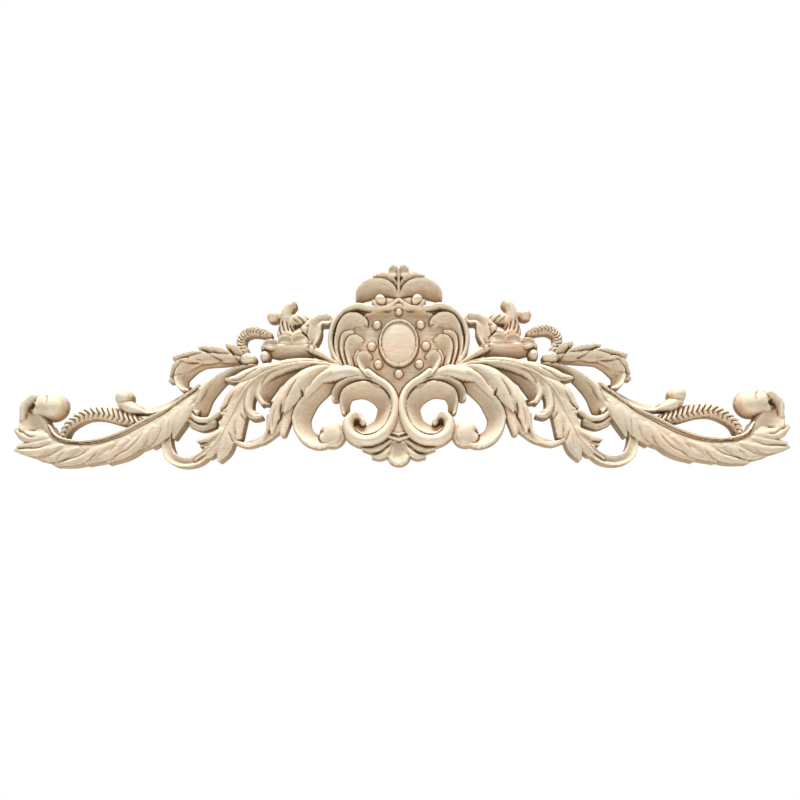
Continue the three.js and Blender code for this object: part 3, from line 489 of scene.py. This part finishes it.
# %% Cords
SLANT = 1.1
PLAIT_LINE = 0.3
BEAD_EDGE = 0.95
NOTCH_DEPTH = 0.8
NOTCH_PULL = 0.18


def twist(twists, outer, shoulder, path, half, crest):
    curve = stroke_curve(path, half, crest)
    view = window_round(curve, curve[:, 2:3] + OVERHANG)
    share, across, along, wide, top, run = nearest_on(curve, view)
    outwards = outer * across
    turn = along / run * twists - SLANT * np.abs(outwards + PLAIT_LINE)
    notch = 1 - np.abs(np.cos(np.pi * turn)) ** 0.6
    notch *= np.clip((outwards + BEAD_EDGE) / 0.5, 0, 1)
    swell = 1 - NOTCH_PULL * notch
    bead = np.sqrt(np.clip(1 - (share / swell) ** 2, 0, 1))
    raise_to(view, (swell - share) * wide, shoulder + (top - shoulder) * bead * (1 - NOTCH_DEPTH * notch))


for cord in CORDS.values():
    twist(*cord)
print("cords", {name: f"{row[0]} twists" for name, row in CORDS.items()})

# %% [markdown]
# ## Knobs, petals and pearls
#
# Buds, curled tips and pearls are low domes. The petals of the flowers are shallow bowls: a lip runs round
# the upper half, and the floor is deepest just under it.

# %% Domes
DOME_FLATNESS = 0.4


def oval(x, z, wide, tall):
    """The part of the map round an oval, and how far out each point is, as a share of the oval's size."""
    view = window((x - wide - OVERHANG, z - tall - OVERHANG), (x + wide + OVERHANG, z + tall + OVERHANG))
    return view, np.hypot((OUT[view] - x) / wide, (UP[view] - z) / tall)


def dome(x, z, wide, tall, shoulder, top):
    view, share = oval(x, z, wide, tall)
    swell = np.clip(1 - share**2, 0, 1) ** DOME_FLATNESS
    raise_to(view, (1 - share) * min(wide, tall), shoulder + (top - shoulder) * swell)


# %% Bowls
BOWL_FLOOR = 0.55
BOWL_FLOOR_RISE = 0.2
LIP_START = 0.68


def bowl(x, z, wide, tall, shoulder, top):
    view, share = oval(x, z, wide, tall)
    upwards = (UP[view] - z) / tall
    floor = BOWL_FLOOR + BOWL_FLOOR_RISE * np.clip((0.8 - upwards) / 1.7, 0, 1)
    lip = np.clip((share - LIP_START) / 0.2, 0, 1) * np.clip((upwards + 0.3) / 0.5, 0, 1)
    rise = rounded_edge(share, 0.12) * (floor + (1 - floor) * lip)
    raise_to(view, (1 - share) * min(wide, tall), shoulder + (top - shoulder) * rise)


for petal in BOWLS.values():
    bowl(*petal)
for knob in KNOBS.values():
    dome(*knob)
for x, z, radius in PEARLS:
    dome(x, z, radius, radius, *PEARL_HEIGHTS)
print("bowls", len(BOWLS), "domes", len(KNOBS) + len(PEARLS))

# %% [markdown]
# ## Cartouche
#
# Behind the frame's curls lies a flat plate, and on it the oval boss: a thin raised rim, a groove inside it
# and a softly swelling face. Nothing is carved on the face.

# %% The cartouche's plate
def depth_inside(outline, view):
    """Distance inside a closed outline, negative outside it."""
    out, up = OUT[view], UP[view]
    closest = np.full(out.shape, 1e9)
    within = np.zeros(out.shape, bool)
    for (ax, az), (bx, bz) in zip(outline, outline[1:] + outline[:1]):
        dx, dz = bx - ax, bz - az
        t = np.clip(((out - ax) * dx + (up - az) * dz) / (dx * dx + dz * dz), 0, 1)
        closest = np.minimum(closest, np.hypot(out - ax - dx * t, up - az - dz * t))
        crosses = (az > up) != (bz > up)
        within ^= crosses & (out < (bx - ax) * (up - az) / (bz - az if bz != az else 1) + ax)
    return np.where(within, closest, -closest)


plate = PLATE + [[-x, z] for x, z in PLATE[::-1][1:-1]]
view = window((-9, -95), (95, 50))
raise_to(view, depth_inside(plate, view), np.full_like(OUT[view], PLATE_HEIGHT))
print("plate", len(plate), "corners")

# %% Its oval boss
BOSS_WIDE, BOSS_TALL = 26, 32.5
RIM_FOOT, RIM_TOP, GROOVE, FACE_TOP = 55, 80, 60, 76
RIM_PLACE, RIM_HALF_WIDTH = 0.95, 0.055
FACE_EDGE = 0.88

view = window((-BOSS_WIDE, -BOSS_TALL), (BOSS_WIDE + 3, BOSS_TALL + 3))
share = np.hypot(OUT[view] / BOSS_WIDE, UP[view] / BOSS_TALL)
bead = np.sqrt(np.clip(1 - ((share - RIM_PLACE) / RIM_HALF_WIDTH) ** 2, 0, 1))
swell = np.clip(1 - (share / FACE_EDGE) ** 2, 0, 1) ** 0.2
rim = RIM_FOOT + (RIM_TOP - RIM_FOOT) * bead
face = GROOVE + (FACE_TOP - GROOVE) * swell
raise_to(view, (1 - share) * BOSS_WIDE, np.where(share > FACE_EDGE + 0.01, rim, face))
print("boss", round(2 * BOSS_WIDE * LENGTH, 1), "x", round(2 * BOSS_TALL * LENGTH, 1), "mm")

# %% [markdown]
# ## Slips of daylight
#
# Where strokes cross, a slip of daylight thinner than a saw blade can be left between them. No saw cuts
# that, so a slip below a smallest area is filled to the height of the edge round it.

# %% Fill what is too small for a saw
SMALLEST_OPENING = 30
FILLED_DEPTH = 0.6
FILLED_HEIGHT = 20
empty = inside <= 0
seen = ~empty
filled = 0
for start in np.argwhere(empty):
    if seen[tuple(start)]:
        continue
    seen[tuple(start)] = True
    group = [tuple(start)]
    for j, i in group:
        for place in ((j + 1, i), (j - 1, i), (j, i + 1), (j, i - 1)):
            if 0 <= place[0] < empty.shape[0] and 0 <= place[1] < empty.shape[1] and not seen[place]:
                seen[place] = True
                group.append(place)
    if len(group) * PITCH**2 < SMALLEST_OPENING:
        filled += 1
        for place in group:
            inside[place] = FILLED_DEPTH
            height[place] = max(edge_height[place], FILLED_HEIGHT)
print("openings filled", filled)

# %% [markdown]
# ## Stop cuts and veins
#
# A carver sets in every overlap with a thin cut, which reads as a dark line. Wherever one stroke stands on
# the next with a clear step, the map is lowered along the foot of the step; where two strokes flow into each
# other nothing is cut. Then the free cuts of the plan, such as the veins of the leaves and the pockets under
# the curls, are pressed in with a V-shaped section that fades at both ends.

# %% Seams between strokes
CLEAR_STEP = 9
SEAM_DEPTH = 11
SEAM_FROM_EDGE = 1.2


def softened(values, times=1):
    """A small blur: each point takes a share of its four neighbours."""
    for _ in range(times):
        padded = np.pad(values, 1, mode="edge")
        sides = padded[:-2, 1:-1] + padded[2:, 1:-1] + padded[1:-1, :-2] + padded[1:-1, 2:]
        values = 0.4 * values + 0.15 * sides
    return values


seam_line = np.zeros(OUT.shape)
for axis in (0, 1):
    for way in (1, -1):
        other, above = np.roll(owner, way, axis), np.roll(height, way, axis) - height
        step = np.clip(above / CLEAR_STEP, 0, 1) * (other != owner)
        seam_line = np.maximum(seam_line, step)
seam_line *= inside > SEAM_FROM_EDGE
height -= SEAM_DEPTH * softened(seam_line, 3)
print("seams", int((seam_line > 0.5).sum()), "grid points at a clear step")

# %% Veins and pockets
LOWEST, HIGHEST = 12, 100


def press(half, deep, path):
    curve = smooth_curve(path, 8)
    curve = np.c_[curve, np.full((len(curve), 1), half), np.zeros((len(curve), 1))]
    view = window_round(curve, 3 * half)
    share, across, along, wide, top, run = nearest_on(curve, view)
    fade = np.clip(6 * along / run, 0.35, 1) * np.clip(6 * (1 - along / run), 0.35, 1)
    groove = np.clip(1 - share, 0, 1) + 0.25 * np.exp(-(share / 1.6) ** 2)
    height[view] -= deep * fade * groove


for cut in CUTS.values():
    press(*cut)
np.clip(height, LOWEST, HIGHEST, out=height)
thinnest = float(height[inside > 0].min()) / 100 * THICKNESS * 1000
print("cuts", len(CUTS), "wood left under the deepest", round(thinnest, 1), "mm")

# %% [markdown]
# ## Painted shade in the hollows, painted highlight on the ridges
#
# Painted shade darkens the hollows of the carving: the brown that light leaves in cuts and under coves, with
# a little burn and dirt in the cuts as well. A point counts as hollow where it lies below the average of its
# surroundings, so blurred copies of the map are compared with it: a near one for thin cuts and a wide one for
# broad coves. Where it stands above its near surroundings the number is negative: ridges get a painted
# highlight. The result goes with the mesh as one number for each corner.

# %% Hollow map
CUT_DEPTH, COVE_DEPTH, RIDGE_HEIGHT = 7, 26, 8


def averaged(values, reach):
    """Mean over a square, by running sums."""
    side = 2 * reach + 1
    for _ in (0, 1):
        total = np.cumsum(np.pad(values, [(reach + 1, reach), (0, 0)], mode="edge"), axis=0)
        values = ((total[side:] - total[:-side]) / side).T
    return values


solid = (inside > 0).astype(float)
wood = height * solid
near = averaged(wood, 2)
close_by = averaged(wood, 4) / np.maximum(averaged(solid, 4), 0.3)
far_around = averaged(averaged(wood, 6), 6) / np.maximum(averaged(averaged(solid, 6), 6), 0.6)
# Painted shade in thin cuts and in broad coves; the negative share is a painted highlight on ridges
cut = np.clip((near - height) / CUT_DEPTH, 0, 1.2)
cove = np.clip((far_around - height) / COVE_DEPTH, 0, 0.8)
ridge = np.clip((close_by - height) / RIDGE_HEIGHT, -1, 0)
shade_and_highlight_map = cut + cove + ridge
print("hollow map", round(float(shade_and_highlight_map[inside > 0].mean()), 3), "on average")

# %% [markdown]
# ## From the map to a closed board
#
# Grid squares inside the outline give two triangles each, split along the flatter diagonal so that creases
# stay crisp. Where the outline crosses a square, a walk round the square keeps its inner corners and the
# crossings, so the edge follows the plan and not the grid. The same half is used again, mirrored, and walls
# then drop straight from the outline to the flat back.

# %% Front surface of one half
NEAREST_CROSSING = 0.04

surface = np.where(inside > 0, height, edge_height)
grid = np.arange(surface.size).reshape(surface.shape)
flat, depth = surface.ravel(), inside.ravel()
squares = np.stack([grid[:-1, :-1], grid[:-1, 1:], grid[1:, 1:], grid[1:, :-1]], -1).reshape(-1, 4)
corners_in = (depth > 0)[squares]
a, b, c, d = squares[corners_in.all(1)].T
along_ac = (np.abs(flat[a] - flat[c]) < np.abs(flat[b] - flat[d]))[:, None]
half_faces = np.vstack([np.where(along_ac, np.c_[a, b, c], np.c_[a, b, d]),
                        np.where(along_ac, np.c_[a, c, d], np.c_[b, c, d])]).tolist()
points = np.c_[OUT.ravel(), UP.ravel(), flat, shade_and_highlight_map.ravel()].tolist()
crossings = {}


def crossing(one, two):
    """Number of the corner where the outline crosses the grid line between two grid points."""
    key = (min(one, two), max(one, two))
    if key not in crossings:
        share = depth[key[0]] / (depth[key[0]] - depth[key[1]])
        share = min(max(share, NEAREST_CROSSING), 1 - NEAREST_CROSSING)
        crossings[key] = len(points)
        points.append([p + (q - p) * share for p, q in zip(points[key[0]], points[key[1]])])
    return crossings[key]


mixed = corners_in.any(1) & ~corners_in.all(1)
for square, kept in zip(squares[mixed].tolist(), corners_in[mixed].tolist()):
    walk = []
    for k in range(4):
        if kept[k]:
            walk.append(square[k])
        if kept[k] != kept[k - 3]:
            walk.append(crossing(square[k], square[k - 3]))
    half_faces.append(walk)
print("half front", len(half_faces), "faces", len(crossings), "outline corners")

# %% Both halves
ON_THE_MIDDLE = 1e-9

used = sorted({k for face in half_faces for k in face})
renumber = {k: i for i, k in enumerate(used)}
front_points = [points[k] for k in used]
front = [[renumber[k] for k in face] for face in half_faces]
mirrored = {}
# The fourth number of each corner is its hollow number: painted shade, or a painted highlight where negative
for k, (x, z, y, dark) in enumerate(front_points[:]):
    mirrored[k] = k if x < ON_THE_MIDDLE else len(front_points)
    if x >= ON_THE_MIDDLE:
        front_points.append([-x, z, y, dark])
front += [[mirrored[k] for k in reversed(face)] for face in front]

# %% [markdown]
# ## Walls and back
#
# The walls join each outline corner to one straight behind it. The back is the same outline filled with
# triangles. A fill also covers the daylight in the openwork, so only triangles that can be reached from the
# wood's side of the outline are kept.

# %% Walls and back
directed = {(face[k - 1], face[k]) for face in front for k in range(len(face))}
rim_edges = sorted((p, q) for p, q in directed if (q, p) not in directed)
back_number = {p: i for i, (p, q) in enumerate(rim_edges)}
base = len(front_points)
walls = [[q, p, base + back_number[p], base + back_number[q]] for p, q in rim_edges]
back_points = [[front_points[p][0], front_points[p][1], 0, 0] for p, q in rim_edges]
back_edges = [(back_number[p], back_number[q]) for p, q in rim_edges]
tiling = delaunay_2d_cdt([Vector(p[:2]) for p in back_points], back_edges, [], 0, 1e-9)[2]
tile_of = {(tile[k - 1], tile[k]): t for t, tile in enumerate(tiling) for k in range(3)}
fence = {edge for p, q in back_edges for edge in ((p, q), (q, p))}
reached = {tile_of[edge] for edge in back_edges if edge in tile_of}
waiting = list(reached)
while waiting:
    tile = tiling[waiting.pop()]
    for k in range(3):
        beyond = None if (tile[k - 1], tile[k]) in fence else tile_of.get((tile[k], tile[k - 1]))
        if beyond is not None and beyond not in reached:
            reached.add(beyond)
            waiting.append(beyond)
back = [[base + k for k in reversed(tiling[t])] for t in sorted(reached)]
print("outline corners", len(back_points), "back", len(back), "of", len(tiling), "tiles")

# %% One closed mesh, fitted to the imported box
MARGIN = 0.00002
CREASE = math.radians(50)

faces = [*front, *walls, *back]
corners = np.array(front_points + back_points)
low, high = corners.min(0), corners.max(0)
place_x = (board_low.x + board_high.x) / 2 + corners[:, 0] * (LENGTH / 2 - MARGIN) / high[0]
place_z = corners[:, 1] * (LENGTH / 2 - MARGIN) / high[0]
place_y = board_high.y - corners[:, 2] / 100 * (THICKNESS - MARGIN)
mesh = bpy.data.meshes.new("carved_crest")
mesh.from_pydata(np.c_[place_x, place_y, place_z].tolist(), [], faces)
mended = mesh.validate()
crest = bpy.data.objects.new("carved_crest", mesh)
bpy.context.collection.objects.link(crest)
for polygon in mesh.polygons:
    polygon.use_smooth = True
mesh.set_sharp_from_angle(angle=CREASE)
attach(crest, "root")
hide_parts("carved_applique")
print("triangles", sum(len(face) - 2 for face in faces), "mended", mended)

# %% [markdown]
# ## One wood, three surfaces
#
# The crest is one wood, but the tools leave it in three states: the carved face is smooth, with painted shade
# in its hollows and painted highlights on its ridges, the sawn edge is rougher and darker, partly from the
# saw and partly as painted shade, and the back is planed flat and left plain.
# The grain is the same in all three, so it is a node group that each material uses with its own strength.

# %% Node helpers
def new_group(name, inputs, outputs):
    group = bpy.data.node_groups.new(name, "ShaderNodeTree")
    for label, kind, value in inputs:
        socket = group.interface.new_socket(label, in_out="INPUT", socket_type=kind)
        socket.default_value = value
    for label, kind in outputs:
        group.interface.new_socket(label, in_out="OUTPUT", socket_type=kind)
    return group, group.nodes.new("NodeGroupInput").outputs, group.nodes.new("NodeGroupOutput").inputs


def add(tree, kind, settings=None, values=None):
    node = tree.nodes.new(kind)
    for name, value in (settings or {}).items():
        setattr(node, name, value)
    for name, value in (values or {}).items():
        if isinstance(value, bpy.types.NodeSocket):
            tree.links.new(value, node.inputs[name])
        else:
            node.inputs[name].default_value = value
    return node


def mix_colour(tree, share, one, two):
    return add(tree, "ShaderNodeMix", {"data_type": "RGBA"}, {0: share, 6: one, 7: two}).outputs[2]


def times(tree, one, two):
    return add(tree, "ShaderNodeMath", {"operation": "MULTIPLY"}, {0: one, 1: two}).outputs[0]


def spread(tree, value, start, end, low=0.0, high=1.0):
    """Stretches start..end of a value over low..high, and holds it there beyond them."""
    limits = {"From Min": start, "From Max": end, "To Min": low, "To Max": high}
    return add(tree, "ShaderNodeMapRange", values={"Value": value, **limits}).outputs[0]


def noise(tree, place, size, detail, roughness):
    values = {"Vector": place, "Scale": size, "Detail": detail, "Roughness": roughness}
    return add(tree, "ShaderNodeTexNoise", values=values).outputs[0]


def stretched(tree, place, scale, shift=(0, 0, 0)):
    values = {"Vector": place, "Scale": scale, "Location": shift}
    return add(tree, "ShaderNodeMapping", values=values).outputs[0]


# %% Wood grain group
STREAK_STRETCH = (6, 40, 90)
FIBRE_STRETCH = (140, 700, 1100)
CLOUD_SIZE = 42
CLOUD_COLOUR = (0.60, 0.50, 0.36, 1)

grain, start, end = new_group(
    "wood_grain",
    [("Light Wood", "NodeSocketColor", (0.80, 0.66, 0.46, 1)),
     ("Dark Wood", "NodeSocketColor", (0.62, 0.45, 0.28, 1)),
     ("Streaks", "NodeSocketFloat", 0.35),
     ("Flecks", "NodeSocketFloat", 0.3)],
    [("Colour", "NodeSocketColor"), ("Height", "NodeSocketFloat")],
)
place = add(grain, "ShaderNodeTexCoord").outputs["Object"]
streak = noise(grain, stretched(grain, place, STREAK_STRETCH), 3.2, 6, 0.62)
fibre = noise(grain, stretched(grain, place, FIBRE_STRETCH), 1.0, 3, 0.6)
cloud = noise(grain, place, CLOUD_SIZE, 4, 0.6)
streaks = times(grain, spread(grain, streak, 0.38, 0.68), start["Streaks"])
flecks = times(grain, spread(grain, fibre, 0.46, 0.68), start["Flecks"])
colour = mix_colour(grain, streaks, start["Light Wood"], start["Dark Wood"])
colour = mix_colour(grain, flecks, colour, start["Dark Wood"])
colour = mix_colour(grain, spread(grain, cloud, 0.35, 0.7, 0.0, 0.16), colour, CLOUD_COLOUR)
grain.links.new(colour, end["Colour"])
ridges = add(grain, "ShaderNodeMath", {"operation": "ADD"}, {0: fibre, 1: cloud})
grain.links.new(ridges.outputs[0], end["Height"])
print("group", grain.name, len(grain.nodes), "nodes")


# %% Material maker
def wood_material(name, light, dark, streaks, flecks, rough, bump):
    """A wood with its own two colours, strength of grain, roughness and bump."""
    material = bpy.data.materials.new(name)
    material.use_nodes = True
    tree = material.node_tree
    shader = tree.nodes["Principled BSDF"]
    values = {"Light Wood": light, "Dark Wood": dark, "Streaks": streaks, "Flecks": flecks}
    wood = add(tree, "ShaderNodeGroup", {"node_tree": grain}, values)
    dulled = spread(tree, wood.outputs["Height"], 0.7, 1.3, rough - 0.08, rough + 0.1)
    tree.links.new(dulled, shader.inputs["Roughness"])
    relief = {"Strength": bump, "Distance": 0.0004, "Height": wood.outputs["Height"]}
    tree.links.new(add(tree, "ShaderNodeBump", values=relief).outputs[0], shader.inputs["Normal"])
    tree.links.new(wood.outputs["Colour"], shader.inputs["Base Color"])
    shader.inputs["Specular IOR Level"].default_value = 0.35
    return material, tree, shader, wood


# %% [markdown]
# ## Blotches, painted shade and painted highlights
#
# Freshly milled wood isn't one colour: it has pinkish and greyish patches as wide as a leaf, from the
# grain's changing direction. The number from the hollow map then decides where painted shade darkens a cove,
# where a thin cut gets a dark brown painted shadow line, and where a ridge gets a painted highlight.

# %% Blotches group
PINK_TONE, PINK_SIZE = (0.83, 0.60, 0.45, 1), 17
GREY_TONE, GREY_SIZE = (0.66, 0.62, 0.54, 1), 29

blotches, start, end = new_group(
    "blotches",
    [("Colour", "NodeSocketColor", (0.8, 0.7, 0.5, 1)),
     ("Pink", "NodeSocketFloat", 0.4),
     ("Grey", "NodeSocketFloat", 0.4)],
    [("Colour", "NodeSocketColor")],
)
place = add(blotches, "ShaderNodeTexCoord").outputs["Object"]
colour = start["Colour"]
for size, shift, strength, tone in ((PINK_SIZE, 0, "Pink", PINK_TONE), (GREY_SIZE, 5, "Grey", GREY_TONE)):
    spots = noise(blotches, stretched(blotches, place, (1, 1, 1.6), (shift, shift, shift)), size, 5, 0.65)
    share = times(blotches, spread(blotches, spots, 0.47, 0.66), start[strength])
    colour = mix_colour(blotches, share, colour, tone)
blotches.links.new(colour, end["Colour"])
print("group", blotches.name, len(blotches.nodes), "nodes")

# %% Carved face, with painted shade in the hollows and painted highlights on the ridges
PAINTED_RIDGE_HIGHLIGHT = (0.93, 0.87, 0.74, 1)
PAINTED_COVE_SHADE = (0.60, 0.38, 0.21, 1)
PAINTED_CUT_SHADOW = (0.22, 0.125, 0.06, 1)

face, tree, shader, wood = wood_material(
    "carved_face", light=(0.87, 0.80, 0.66, 1), dark=(0.63, 0.50, 0.36, 1),
    streaks=0.4, flecks=0.75, rough=0.58, bump=0.85)
hollow = add(tree, "ShaderNodeAttribute", {"attribute_name": "hollow"}).outputs["Fac"]
values = {"Colour": wood.outputs["Colour"], "Pink": 0.66, "Grey": 0.6}
spotted = add(tree, "ShaderNodeGroup", {"node_tree": blotches}, values).outputs["Colour"]
# From the hollow number: a painted highlight on ridges, painted shade in coves and a dark painted shadow line
# in thin cuts
colour = mix_colour(tree, spread(tree, hollow, -0.12, -0.7, 0, 0.55), spotted, PAINTED_RIDGE_HIGHLIGHT)
colour = mix_colour(tree, spread(tree, hollow, 0.08, 0.8, 0, 0.72), colour, PAINTED_COVE_SHADE)
colour = mix_colour(tree, spread(tree, hollow, 0.75, 1.3, 0, 0.85), colour, PAINTED_CUT_SHADOW)
tree.links.new(colour, shader.inputs["Base Color"])

# %% Sawn edge, darkened partly with painted shade, and plain back
# The sawn edge is dark brown: partly the darker sawn wood, partly painted shade for walls that face down into
# shadow
edge = wood_material(
    "sawn_edge_painted_shade", light=(0.46, 0.35, 0.23, 1), dark=(0.26, 0.18, 0.11, 1),
    streaks=0.6, flecks=0.6, rough=0.75, bump=0.8)[0]
plain = wood_material(
    "planed_back", light=(0.74, 0.60, 0.41, 1), dark=(0.52, 0.37, 0.22, 1),
    streaks=0.55, flecks=0.45, rough=0.7, bump=0.5)[0]
for material in (face, edge, plain):
    mesh.materials.append(material)
slots = np.repeat([0, 1, 2], [len(front), len(walls), len(back)])
mesh.polygons.foreach_set("material_index", slots)
# The hollow number goes to the face material, which paints shade into hollows and highlights onto ridges
painted_shade_numbers = mesh.attributes.new("hollow", "FLOAT", "POINT")
painted_shade_numbers.data.foreach_set("value", corners[:, 3])
print("materials", [material.name for material in mesh.materials])

# %% [markdown]
# ## Floor, light and camera
#
# The photograph is a shop picture on pure white: a broad lamp stands high in front, so surfaces that look up
# are cream and those that look down fall into warm brown. A pale floor lies far below, out of the picture.

# %% Floor
FLOOR_REACH, FLOOR_LEVEL = 1.2, -0.6

studio = bpy.data.materials.new("studio_floor")
studio.use_nodes = True
matt = studio.node_tree.nodes["Principled BSDF"].inputs
matt["Base Color"].default_value = (0.9, 0.89, 0.87, 1)
matt["Roughness"].default_value = 0.9
ends = (-FLOOR_REACH, FLOOR_REACH)
floor_mesh = bpy.data.meshes.new("floor")
floor_mesh.from_pydata([(x, y, FLOOR_LEVEL) for x in ends for y in ends], [], [(0, 2, 3, 1)])
floor_mesh.materials.append(studio)
floor = bpy.data.objects.new("floor", floor_mesh)
bpy.context.collection.objects.link(floor)
floor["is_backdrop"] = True


# %% Lamps
def lamp(name, place, size, power, tone):
    """A broad lamp that looks at the middle of the crest."""
    light = bpy.data.lights.new(name, "AREA")
    light.shape = "RECTANGLE"
    light.size, light.size_y = size
    light.energy = power
    light.color = tone
    holder = bpy.data.objects.new(name, light)
    holder.location = place
    holder.rotation_euler = (-Vector(place)).to_track_quat("-Z", "Y").to_euler()
    bpy.context.collection.objects.link(holder)


lamp("key", (-0.1, -0.62, 1.85), (1.6, 0.4), 66, (1, 0.99, 0.95))
lamp("front", (0.2, -2.0, 0.1), (1.8, 0.9), 5.5, (1, 0.94, 0.86))
lamp("back", (-0.4, 1.6, 1.0), (1.2, 0.8), 22, (1, 0.97, 0.93))

# %% White round the object, and a warm glow from it
GLOW_COLOUR, GLOW_STRENGTH = (1, 0.87, 0.72, 1), 0.26

world = bpy.data.worlds.new("studio")
bpy.context.scene.world = world
world.use_nodes = True
sky = world.node_tree
glow = sky.nodes["Background"]
glow.inputs["Color"].default_value = GLOW_COLOUR
glow.inputs["Strength"].default_value = GLOW_STRENGTH
white = add(sky, "ShaderNodeBackground", values={"Color": (1, 1, 1, 1), "Strength": 1.0})
either = add(sky, "ShaderNodeMixShader", values={0: add(sky, "ShaderNodeLightPath").outputs["Is Camera Ray"]})
sky.links.new(glow.outputs[0], either.inputs[1])
sky.links.new(white.outputs[0], either.inputs[2])
sky.links.new(either.outputs[0], sky.nodes["World Output"].inputs[0])
bpy.context.scene.view_settings.view_transform = "Standard"
print("lamps", [thing.name for thing in bpy.data.lights])

# %% Camera
PICTURE = 800
PICTURE_CENTRE = (399.04, 347.22)
TURN, TILT, DISTANCE = math.radians(1.24), math.radians(-17), 0.728

camera_data = bpy.data.cameras.new("camera")
camera = bpy.data.objects.new("camera", camera_data)
bpy.context.collection.objects.link(camera)
bpy.context.scene.camera = camera
camera_data.lens = 40.5
camera_data.sensor_width = 36
outwards = Vector((math.sin(TURN) * math.cos(TILT), -math.cos(TURN) * math.cos(TILT), math.sin(TILT)))
camera.location = outwards * DISTANCE
camera.rotation_euler = outwards.to_track_quat("Z", "Y").to_euler()
camera_data.shift_x = (PICTURE / 2 - PICTURE_CENTRE[0]) / PICTURE
camera_data.shift_y = (PICTURE_CENTRE[1] - PICTURE / 2) / PICTURE
print("camera at", [round(v, 3) for v in camera.location])

# %% Sizes and finish
low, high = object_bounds()
print("visual", [round(v * 1000, 2) for v in (*low, *high)])
